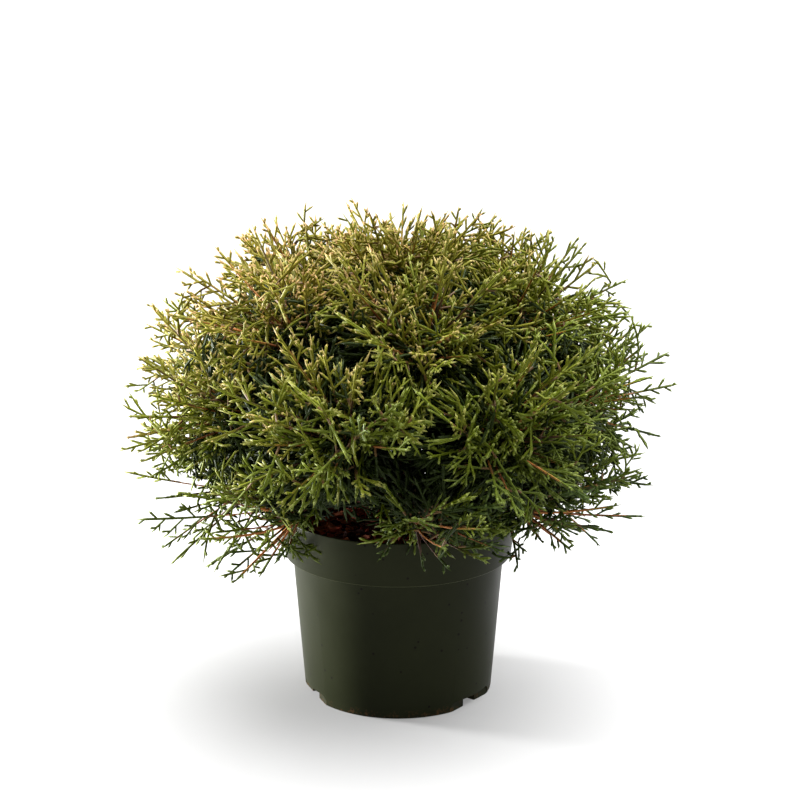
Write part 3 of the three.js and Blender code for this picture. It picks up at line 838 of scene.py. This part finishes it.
def bent_copies(template, arc, side, thickness):
    """A template bent along each of an array of curves. Returns points, triangles and kinds, by copy."""
    middles, offsets, triangles, kinds = template
    copies = len(arc.start)
    length_of = np.linalg.norm(arc.end - arc.start, axis=1)[:, None, None]
    along = np.clip(middles[:, 1], 0.0, 1.0)
    t = np.broadcast_to(along, (copies, len(along)))
    curves = Arc(arc.start[:, None], arc.bend[:, None], arc.end[:, None])
    heading = curves.tangent(t)
    aside = square_to(heading, side[:, None])
    over = np.cross(aside, heading)
    beyond = (middles[:, 1] - along)[None, :, None]
    thickness = np.asarray(thickness)[:, None, None]
    points = curves.point(t)
    points = points + aside * (middles[None, :, :1] * length_of + offsets[None, :, :1] * thickness)
    points = points + heading * (beyond * length_of + offsets[None, :, 1:2] * thickness)
    points = points + over * (middles[None, :, 2:] * length_of + offsets[None, :, 2:] * thickness)
    steps = (np.arange(copies) * len(middles))[:, None, None]
    return points.reshape(-1, 3), (triangles[None] + steps).reshape(-1, 3), np.tile(kinds, (copies, 1))


# Tints of the foliage
TINTS = 8
# The shade tints are painted shade, dark tints for the sprays deep inside the crown
SHADE_TINTS = 2  # the first ones, for shoots that end inside the crown
SHADE_REACH, SHADE_NOISE = (0.58, 0.76), 0.03
# The left term is painted light: it makes the sprays at the left bronze and those at the right deep green, as the
# key light falls from the left
WARMTH, WARMER_UP, PAINTED_LIGHT_LEFT, WARMTH_NOISE = 0.34, 0.5, 0.21, 0.08  # from deep green, 0, to bronze, 1
STEM_GREEN = 0.6  # how far a shoot's foot is from the colour of young bark to deep green


def tint_numbers(places, random):
    """The tint of a spray that ends at each place: painted shade inside, deep low down and bronze high up, and
    painted light that deals bronze at the left and deep green at the right.
    """
    height = (places[:, 2] - HEART[2]) / RISE
    left = -places[:, 0] / SPREAD
    warmth = WARMTH + WARMER_UP * height + PAINTED_LIGHT_LEFT * left + random.normal(0, WARMTH_NOISE, len(places))
    open_tints = TINTS - SHADE_TINTS
    open_tint = SHADE_TINTS + np.clip(warmth * open_tints, 0, open_tints - 1).astype(int)
    # Painted shade: sprays that end deep inside the crown, but not in the open skirt, get the two dark tints
    share = share_of_reach(places) + random.normal(0, SHADE_NOISE, len(places))
    share = np.where(share_grown(places) < 1, 1.0, share)
    return np.where(share < SHADE_REACH[0], 0, np.where(share < SHADE_REACH[1], 1, open_tint))


def ramp(stops, share):
    """A colour so far along a row of colours."""
    place = share * (len(stops) - 1)
    index = min(int(place), len(stops) - 2)
    return tuple(between(ends, place - index) for ends in zip(stops[index], stops[index + 1], strict=True))


def tint_materials(foliage, wood):
    """One stem tint, then for each tint a body and a tip."""
    materials = [plain_material("green_stem", ramp((wood.young_bark, foliage.deep), STEM_GREEN), 0.6)]
    bodies = (foliage.deep, foliage.fresh, foliage.bronze)
    tips = (foliage.deep_tip, foliage.fresh_tip, foliage.bronze_tip)
    for tint in range(TINTS):
        if tint < SHADE_TINTS:
            body = tip = ramp((foliage.shade, foliage.deep), tint / SHADE_TINTS)
        else:
            share = (tint - SHADE_TINTS) / (TINTS - SHADE_TINTS - 1)
            body, tip = ramp(bodies, share), ramp(tips, share)
        materials.append(plain_material(f"thread_{tint + 1}", body, 0.55, 0.15))
        materials.append(plain_material(f"thread_tip_{tint + 1}", tip, 0.5, 0.2))
    return materials


# Stage
FLOOR_HALF_WIDTH = 30.0
CEILING_WIDTH = math.radians(76)
CEILING_PLACE, KEY_PLACE, RIM_PLACE = (0.25, 0.2, 1.5), (-1.65, 0.48, 0.24), (1.7, 0.5, 0.24)
LAMP_SIZE = 0.4
LAMPS_AIM = (0.0, 0.0, 0.2)


class ARBORVITAE_OT_stage(bpy.types.Operator):
    """Build the pale floor, the soft lights and the camera"""

    bl_idname = "arborvitae.stage"
    bl_label = "Stage"

    def execute(self, context):
        stage = context.scene.arborvitae_stage
        scene = context.scene
        scene.view_settings.view_transform = "Standard"
        camera = bpy.data.objects.new("camera", bpy.data.cameras.new("camera"))
        camera.data.lens = stage.lens
        camera.data.sensor_width = 36
        camera.location = (stage.camera_aside, -stage.camera_distance, stage.camera_height)
        camera.rotation_euler = (math.pi / 2 - stage.camera_pitch, 0, 0)
        scene.collection.objects.link(camera)
        scene.camera = camera

        bm = bmesh.new()
        bmesh.ops.create_grid(bm, x_segments=1, y_segments=1, size=FLOOR_HALF_WIDTH)
        mesh = mesh_from_bmesh(bm, "floor", smooth=False)
        paint = plain_material("floor_paint", stage.floor, 0.8, 0.2)
        glow = paint.node_tree.nodes["Principled BSDF"].inputs
        glow["Emission Color"].default_value = (1, 1, 1, 1)
        glow["Emission Strength"].default_value = stage.floor_glow
        mesh.materials.append(paint)
        floor = bpy.data.objects.new("floor", mesh)
        scene.collection.objects.link(floor)
        floor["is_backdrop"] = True

        lights = (
            ("ceiling", "SUN", stage.ceiling, CEILING_PLACE),
            ("key", "AREA", stage.key, KEY_PLACE),
            ("rim", "AREA", stage.rim, RIM_PLACE),
        )
        for name, kind, power, place in lights:
            light = bpy.data.lights.new(name, kind)
            light.energy = power
            if kind == "SUN":
                light.angle = CEILING_WIDTH
            else:
                light.shape, light.size = "DISK", LAMP_SIZE
            lamp = bpy.data.objects.new(name, light)
            lamp.location = place
            lamp.rotation_euler = (Vector(LAMPS_AIM) - Vector(place)).to_track_quat("-Z", "Y").to_euler()
            scene.collection.objects.link(lamp)

        world = bpy.data.worlds.new("surroundings")
        world.use_nodes = True
        sky = world.node_tree.nodes["Background"]
        sky.inputs["Color"].default_value = (1, 1, 1, 1)
        seen = add_node(world.node_tree, "ShaderNodeLightPath").outputs["Is Camera Ray"]
        strength = ranged(world.node_tree, seen, 0.0, 1.0, stage.sky, 1.0)
        world.node_tree.links.new(strength, sky.inputs["Strength"])
        scene.world = world
        return {"FINISHED"}


# Pot
POT_SEGMENTS = 144
FOOT_BEVEL, BASE, BAND_EDGE = 0.0015, 0.0024, 0.0012
NECK_INSET, NECK_DROP, NECK_FILLET = 0.0003, 0.0006, 0.0004  # the crease under the band
POT_FOOT_OUT = 0.080  # the cuts start this far out
NOTCH = {
    "angles": (52, 172, -68),
    "width": 0.050,
    "height": 0.0085,
    "corner": 0.006,
    "chord": 0.0715,
    "channel_width": 0.015,
    "channel_height": 0.0065,
    "channel_length": 0.028,
    "drain_radius": 0.004,
    "drain_length": 0.008,
    "overrun": 0.004,
}


def spun(profile):
    """A profile of (radius, height) points turned once round the upright axis."""
    bm = bmesh.new()
    verts = [bm.verts.new((radius, 0.0, height)) for radius, height in profile]
    edges = [bm.edges.new(pair) for pair in zip(verts, verts[1:], strict=False)]
    full = {"angle": 2 * math.pi, "steps": POT_SEGMENTS, "use_merge": True, "use_duplicate": False}
    bmesh.ops.spin(bm, geom=verts + edges, cent=(0, 0, 0), axis=(0, 0, 1), **full)
    bmesh.ops.remove_doubles(bm, verts=bm.verts, dist=SAME_PLACE)
    return bm


def corner_arc(centre, radius, start, end, steps=4):
    """Points of a rounded corner in the profile, from one angle in degrees to another."""
    angles = [math.radians(start + (end - start) * i / steps) for i in range(steps + 1)]
    return [(centre[0] + radius * math.cos(a), centre[1] + radius * math.sin(a)) for a in angles]


def notch_cutter(grow):
    """The arched inset at the front and its channel, grown by a wall's thickness where wanted."""
    over = NOTCH["overrun"]
    sizes = (
        (NOTCH["width"], POT_FOOT_OUT - NOTCH["chord"], NOTCH["height"]),
        (NOTCH["channel_width"], NOTCH["channel_length"], NOTCH["channel_height"]),
    )
    bm = bmesh.new()
    for width, depth, tall in sizes:
        width, depth, tall = width + 2 * grow, depth + grow, tall + grow + over
        place = Matrix.Translation((0, -POT_FOOT_OUT + depth / 2, tall / 2 - over))
        bmesh.ops.create_cube(bm, size=1.0, matrix=place @ Matrix.Diagonal((width, depth, tall, 1)))
    roof = max(vert.co.z for vert in bm.verts)
    upper = [edge for edge in bm.edges if all(vert.co.z > roof - SAME_PLACE for vert in edge.verts)]
    edges = [edge for edge in upper if abs(edge.verts[0].co.x - edge.verts[1].co.x) < SAME_PLACE]
    arch = {"offset": NOTCH["corner"], "segments": 6, "profile": 0.5, "affect": "EDGES", "material": -1}
    bmesh.ops.bevel(bm, geom=edges, **arch)
    return bm


def drain_cutter():
    """A round hole up through the roof of a channel."""
    bm = bmesh.new()
    radius = NOTCH["drain_radius"]
    inner = POT_FOOT_OUT - NOTCH["channel_length"] + 1.5 * radius
    place = Matrix.Translation((0, -inner, NOTCH["channel_height"]))
    round_bar = {"radius1": radius, "radius2": radius, "depth": NOTCH["drain_length"], "segments": 32}
    bmesh.ops.create_cone(bm, cap_ends=True, matrix=place, **round_bar)
    return bm


def round_foot(bm, angle):
    """A cutter turned to its place round the pot."""
    bmesh.ops.rotate(bm, cent=(0, 0, 0), matrix=Matrix.Rotation(math.radians(angle), 3, "Z"), verts=bm.verts)
    return bm


def cut_out(context, solid, cutter):
    """A solid with another solid cut out of it. Both bmeshes are used up."""
    objects = []
    for name, bm in (("solid", solid), ("cutter", cutter)):
        made = bpy.data.objects.new(name, mesh_from_bmesh(bm, name))
        context.scene.collection.objects.link(made)
        objects.append(made)
    modifier = objects[0].modifiers.new("cut", "BOOLEAN")
    modifier.operation, modifier.solver, modifier.use_self = "DIFFERENCE", "EXACT", True
    modifier.object = objects[1]
    context.view_layer.update()
    depsgraph = context.evaluated_depsgraph_get()
    mesh = bpy.data.meshes.new_from_object(objects[0].evaluated_get(depsgraph))
    left = bmesh.new()
    left.from_mesh(mesh)
    bpy.data.meshes.remove(mesh)
    for made in objects:
        bpy.data.objects.remove(made)
    return left


class ARBORVITAE_OT_pot(bpy.types.Operator):
    """Build the pot: a turned shell with a wide band and three drain notches at its foot"""

    bl_idname = "arborvitae.pot"
    bl_label = "Pot"

    def execute(self, context):
        pot = context.scene.arborvitae_pot
        neck = pot.height - pot.band_height
        lip = 0.4 * pot.wall
        band_corner = 0.75 * BAND_EDGE
        outline = [(0.0, 0.0)]
        outline += corner_arc((pot.foot_radius - FOOT_BEVEL, FOOT_BEVEL), FOOT_BEVEL, -90, -4)
        outline += [(pot.neck_radius - NECK_INSET, neck - NECK_DROP), (pot.neck_radius + NECK_FILLET, neck)]
        outline += corner_arc((pot.band_foot_radius - band_corner, neck + BAND_EDGE), band_corner, -84, -4)
        outline += corner_arc((pot.rim_radius - lip, pot.height - lip), lip, -4, 90)
        outline += [(0.0, pot.height)]
        over = pot.height + pot.wall
        inner_lip = pot.rim_radius - pot.wall + lip
        inner_foot = pot.foot_radius - pot.wall
        hollow = [(0.0, BASE)]
        hollow += corner_arc((inner_foot - FOOT_BEVEL, BASE + FOOT_BEVEL), FOOT_BEVEL, -90, -4)
        hollow += [(pot.neck_radius - pot.wall, neck + pot.wall)]
        hollow += [(pot.band_foot_radius - pot.wall, neck + pot.wall + BAND_EDGE)]
        hollow += corner_arc((inner_lip, pot.height - lip), lip, 176, 90)
        hollow += [(inner_lip, over), (0.0, over)]
        inside = spun(hollow)
        for angle in NOTCH["angles"]:
            inside = cut_out(context, inside, round_foot(notch_cutter(pot.wall), angle))
        shell = cut_out(context, spun(outline), inside)
        for angle in NOTCH["angles"]:
            shell = cut_out(context, shell, round_foot(notch_cutter(0.0), angle))
            shell = cut_out(context, shell, round_foot(drain_cutter(), angle))
        mesh = mesh_from_bmesh(shell, "pot_body")
        mesh.set_sharp_from_angle(angle=math.radians(38))
        finish_piece("pot_body", mesh, [pot_material(pot)], ["pot"])
        return {"FINISHED"}


# Mulch
MULCH_EDGE_HEIGHT = POT_TOP.z - 0.012
MULCH_RADIUS = 0.0915
MULCH_SEGMENTS = 120
MULCH_SKIRT = 0.004
MULCH_SEED = 11
MOUND_SLOPE = 1.2
LUMP_HEIGHT, LUMP_RATE = 0.0016, 75
CHIP_SHAPES, CHIP_TINTS = 6, 4
CHIP_WIDTH, CHIP_THICKNESS, CHIP_END = 0.34, 0.13, 0.5  # and how wide its ends are, as a share of its width
CHIP_SNAKING, CHIP_CURL = 0.05, 0.1
KNOCKED_ALONG, KNOCKED_ACROSS, KNOCKED_UP = 0.09, (0.7, 1.25), (0.6, 1.3)
SHORTEST_CHIP, MOSTLY_SHORT = 0.3, 1.6  # the shortest one as a share of the longest
CHIP_WIDTHS = (0.7, 1.3)
CHIP_TILT, CHIP_ROLL = 0.26, 0.4
CHIP_LIFT, CHIP_LIFT_RANGE = 0.0006, 0.0022
CHIP_MARGIN, TRUNK_MARGIN = 0.006, 0.002


def mulch_height(x, y):
    """The height of a low lumpy mound, which the chips and the surface's middle and edge follow."""
    share = 1 - min(1.0, math.hypot(x, y) / MULCH_RADIUS)
    mound = (GROUND_LEVEL - CLEARANCE - MULCH_EDGE_HEIGHT) * min(1.0, MOUND_SLOPE * share)
    lumps = LUMP_HEIGHT * noise.fractal(Vector((x, y, 0.3)) * LUMP_RATE, 0.8, 2.0, 4)
    return MULCH_EDGE_HEIGHT + mound + lumps


def chip_template(random):
    """A splinter of bark of unit length along X: a block in three stretches, knocked out of shape."""
    bm = bmesh.new()
    bmesh.ops.create_cube(bm, size=1.0, matrix=Matrix.Diagonal((1.0, CHIP_WIDTH, CHIP_THICKNESS, 1.0)))
    along = [edge for edge in bm.edges if abs(edge.verts[0].co.x - edge.verts[1].co.x) > 0.5]
    bmesh.ops.subdivide_edges(bm, edges=along, cuts=2)
    for vert in bm.verts:
        ragged = CHIP_END if abs(vert.co.x) > 0.4 else 1.0
        vert.co.x += random.uniform(-KNOCKED_ALONG, KNOCKED_ALONG)
        snaking = CHIP_SNAKING * math.sin(4 * vert.co.x)
        vert.co.y = vert.co.y * ragged * random.uniform(*KNOCKED_ACROSS) + snaking
        vert.co.z = vert.co.z * random.uniform(*KNOCKED_UP) + CHIP_CURL * vert.co.x**2
    bmesh.ops.triangulate(bm, faces=bm.faces)
    bmesh.ops.recalc_face_normals(bm, faces=bm.faces)
    shape = points_and_triangles(bm)
    bm.free()
    return shape


class ARBORVITAE_OT_mulch(bpy.types.Operator):
    """Build the mulch's surface and the bark chips over it, and finish the soil"""

    bl_idname = "arborvitae.mulch"
    bl_label = "Mulch"

    def execute(self, context):
        mulch = context.scene.arborvitae_mulch
        damp = mulch_material(mulch)
        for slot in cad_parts["soil"].material_slots:
            slot.material = damp
        bm = bmesh.new()
        # Flat wedges from the middle to an uneven edge, most of them under the chips
        bmesh.ops.create_circle(bm, cap_ends=True, segments=MULCH_SEGMENTS, radius=MULCH_RADIUS)
        bmesh.ops.poke(bm, faces=bm.faces)
        for vert in bm.verts:
            vert.co.z = mulch_height(vert.co.x, vert.co.y)
        skirt = bmesh.ops.extrude_edge_only(bm, edges=open_edges(bm))["geom"]
        lowest = [item for item in skirt if isinstance(item, bmesh.types.BMVert)]
        bmesh.ops.translate(bm, vec=(0, 0, -MULCH_SKIRT), verts=lowest)
        bmesh.ops.holes_fill(bm, edges=open_edges(bm))
        finish_piece("mulch_surface", mesh_from_bmesh(bm, "mulch_surface"), [damp])

        random = np.random.default_rng(MULCH_SEED)
        templates = [chip_template(random) for _ in range(CHIP_SHAPES)]
        pile = Pile()
        for chip in range(mulch.chips):
            shape, faces = templates[chip % CHIP_SHAPES]
            size = mulch.longest_chip * between((SHORTEST_CHIP, 1.0), random.random() ** MOSTLY_SHORT)
            distance = (MULCH_RADIUS - CHIP_MARGIN) * math.sqrt(random.random())
            turn = random.uniform(0, 2 * math.pi)
            x, y = distance * math.cos(turn), distance * math.sin(turn)
            rotation = Matrix.Rotation(random.uniform(0, 2 * math.pi), 3, "Z")
            tilt = Matrix.Rotation(random.normal(0, CHIP_TILT), 3, "Y")
            rotation @= tilt @ Matrix.Rotation(random.normal(0, CHIP_ROLL), 3, "X")
            tall = mulch_height(x, y) + CHIP_LIFT + CHIP_LIFT_RANGE * random.random()
            scaled = shape * size * np.array((1.0, random.uniform(*CHIP_WIDTHS), 1.0))
            points = scaled @ np.array(rotation).T + (x, y, tall)
            far = np.hypot(points[:, 0], points[:, 1]).max()
            if far <= MULCH_RADIUS and distance >= TRUNK["flare_radius"] + TRUNK_MARGIN:
                pile.add(points, faces, np.full(len(faces), random.integers(0, CHIP_TINTS)))
        mesh = pile.mesh("bark_chips")
        mesh.shade_flat()
        stops = (mulch.dark_bark, mulch.red_bark, mulch.pale_bark)
        shades = [ramp(stops, n / CHIP_TINTS) for n in range(CHIP_TINTS)]
        tints = [plain_material(f"chip_{n + 1}", shade, 0.8, 0.3) for n, shade in enumerate(shades)]
        finish_piece("bark_chips", mesh, tints)
        return {"FINISHED"}


# Wood
LIMB_RING_STEP, FEWEST_RINGS = 0.0022, 6
TRUNK_SIDES, BOUGH_SIDES = 20, 12
STRIP_TURN, STRIP_RUN = 2.6, 55.0
TWIG_TINTS = 3
TWIG_SIZES = (0.8, 1.2)


def limb(bm, point_at, radius_at, long, sides, side, relief):
    """One limb from its foot to its tip, with strips of bark raised along it."""
    middle = bm.verts.layers.float_vector.get("middle") or bm.verts.layers.float_vector.new("middle")
    before = len(bm.verts)
    rings = max(FEWEST_RINGS, round(long / LIMB_RING_STEP))
    shares = [i / rings for i in range(rings + 1)]
    points = [Vector(point_at(share)) for share in shares]
    draw_thread(bm, middle, points, [radius_at(share) for share in shares], [0] * rings, sides, Vector(side))
    for vert in list(bm.verts)[before:]:
        out = vert.co - vert[middle]
        if out.length > SAME_PLACE:
            strips = noise.fractal(out.normalized() * STRIP_TURN + vert[middle] * STRIP_RUN, 0.9, 2.0, 3)
            vert.co = vert[middle] + out * (1 + relief * strips)


def bough_radius(t):
    return between((BOUGH["foot_radius"], BOUGH["tip_radius"]), t)


class ARBORVITAE_OT_wood(bpy.types.Operator):
    """Build the trunk, the boughs, and the stems and twigs that grow on from them"""

    bl_idname = "arborvitae.wood"
    bl_label = "Wood"

    def execute(self, context):
        wood = context.scene.arborvitae_wood
        bark = bark_material(wood)
        bm = bmesh.new()
        tall = TRUNK["top"] - GROUND_LEVEL
        limb(bm, trunk_point, trunk_radius, tall, TRUNK_SIDES, (0, 1, 0), wood.relief)
        bmesh.ops.holes_fill(bm, edges=open_edges(bm))
        finish_piece("trunk_bark", mesh_from_bmesh(bm, "trunk_bark"), [bark], ["trunk"])

        masses = lay_out()
        on_boughs = [mass for mass in masses if mass.leaves is not None]
        bm = bmesh.new()
        for mass in on_boughs:
            arc = mass.bough()
            side = np.cross(arc.bend - arc.start, arc.end - arc.bend)
            limb(bm, arc.point, bough_radius, arc.length(), BOUGH_SIDES, side, wood.relief)
        bmesh.ops.holes_fill(bm, edges=open_edges(bm))
        nodes = [f"bough_{mass.name}" for mass in on_boughs]
        finish_piece("boughs_bark", mesh_from_bmesh(bm, "boughs_bark"), [bark], nodes)

        template = twig_template()
        random = np.random.default_rng(CROWN_SEED)
        pile = Pile()
        for mass in masses:
            stem = mass.stem()
            twigs = [(stem, square_to(stem.tangent(0.5), UP))] + grow_twigs(mass, wood.twigs)
            curves = Arc(*([getattr(arc, part) for arc, _ in twigs] for part in ("start", "bend", "end")))
            thickness = wood.twig_radius * random.uniform(*TWIG_SIZES, len(twigs))
            thickness[0] = BOUGH["tip_radius"]
            points, faces, _ = bent_copies(template, curves, np.array([side for _, side in twigs]), thickness)
            pile.add(points, faces, np.repeat(random.integers(0, TWIG_TINTS, len(twigs)), len(template[2])))
        stops = (wood.old_bark, wood.young_bark, wood.fresh_bark)
        shades = [ramp(stops, n / (TWIG_TINTS - 1)) for n in range(TWIG_TINTS)]
        tints = [plain_material(f"twig_bark_{n + 1}", shade, 0.65, 0.4) for n, shade in enumerate(shades)]
        finish_piece("twigs", pile.mesh("twigs"), tints)
        return {"FINISHED"}


# Foliage
FOLIAGE_SEED = 41
SIDES_OF_CROWN = 7
DRAWN_RADIUS = 0.001
THREAD_SIZES = (0.88, 1.12)


def pieces_of_crown(masses):
    """The masses that each piece of foliage stands for: one of each ring, and the top with one of them."""
    groups = [[] for _ in range(SIDES_OF_CROWN)]
    for mass in masses:
        place = SIDES_OF_CROWN - 1 if mass.leaves is None else int(mass.name.split("_")[1]) - 1
        groups[place].append(mass)
    return groups


class ARBORVITAE_OT_foliage(bpy.types.Operator):
    """Build the fine green shoots on every twig"""

    bl_idname = "arborvitae.foliage"
    bl_label = "Foliage"

    def execute(self, context):
        foliage = context.scene.arborvitae_foliage
        wood = context.scene.arborvitae_wood
        random = np.random.default_rng(FOLIAGE_SEED)
        templates = [shoot_template(size, random) for size in SHOOT_LENGTHS for _ in range(SHOOT_VARIANTS)]
        materials = tint_materials(foliage, wood)
        steps = np.array([(a + b) / 2 for a, b in zip(SHOOT_LENGTHS, SHOOT_LENGTHS[1:], strict=False)])
        for place, group in enumerate(pieces_of_crown(lay_out())):
            pile = Pile()
            for mass in group:
                arc, side = grow_shoots(mass, grow_twigs(mass, wood.twigs), foliage, random)
                long = np.linalg.norm(arc.end - arc.start, axis=1)
                variant = random.integers(0, SHOOT_VARIANTS, len(long))
                choice = np.digitize(long, steps) * SHOOT_VARIANTS + variant
                tints = tint_numbers(arc.end, random)
                thickness = foliage.thread_radius / DRAWN_RADIUS * random.uniform(*THREAD_SIZES, len(long))
                for index, template in enumerate(templates):
                    taken = choice == index
                    if not taken.any():
                        continue
                    curves = Arc(arc.start[taken], arc.bend[taken], arc.end[taken])
                    points, faces, kinds = bent_copies(template, curves, side[taken], thickness[taken])
                    kinds = np.where(kinds == STEM_KIND, 0, 2 * tints[taken][:, None] + kinds)
                    pile.add(points, faces, kinds.ravel())
            name = f"foliage_side_{place + 1}"
            nodes = [f"foliage_{mass.name}" for mass in group]
            finish_piece(name, pile.mesh(name), materials, nodes)
        return {"FINISHED"}


OPERATORS = (
    ARBORVITAE_OT_stage,
    ARBORVITAE_OT_pot,
    ARBORVITAE_OT_mulch,
    ARBORVITAE_OT_wood,
    ARBORVITAE_OT_foliage,
)


class ARBORVITAE_PT_parts(bpy.types.Panel):
    """The parts of the plant, with their sizes and colours"""

    bl_idname = "ARBORVITAE_PT_parts"
    bl_label = "Potted arborvitae"
    bl_space_type = "VIEW_3D"
    bl_region_type = "UI"
    bl_category = "Arborvitae"

    def draw(self, context):
        for part in OPERATORS:
            box = self.layout.box()
            box.operator(part.bl_idname)
            settings = getattr(context.scene, "arborvitae_" + part.bl_idname.split(".")[1])
            for name in settings.bl_rna.properties.keys():
                if name not in ("rna_type", "name"):
                    box.prop(settings, name)


CLASSES = (*SETTINGS.values(), *OPERATORS, ARBORVITAE_PT_parts)


def register():
    for item in CLASSES:
        bpy.utils.register_class(item)
    for name, group in SETTINGS.items():
        setattr(bpy.types.Scene, f"arborvitae_{name}", bpy.props.PointerProperty(type=group))


def unregister():
    for name in SETTINGS:
        delattr(bpy.types.Scene, f"arborvitae_{name}")
    for item in reversed(CLASSES):
        bpy.utils.unregister_class(item)


def main():
    register()
    bpy.ops.arborvitae.stage()
    bpy.ops.arborvitae.pot()
    bpy.ops.arborvitae.mulch()
    bpy.ops.arborvitae.wood()
    bpy.ops.arborvitae.foliage()
    boxes = {name: [list(corner) for corner in box] for name, box in (("cad", CAD_BOX), ("visual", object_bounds()))}


if __name__ == "__main__":
    main()
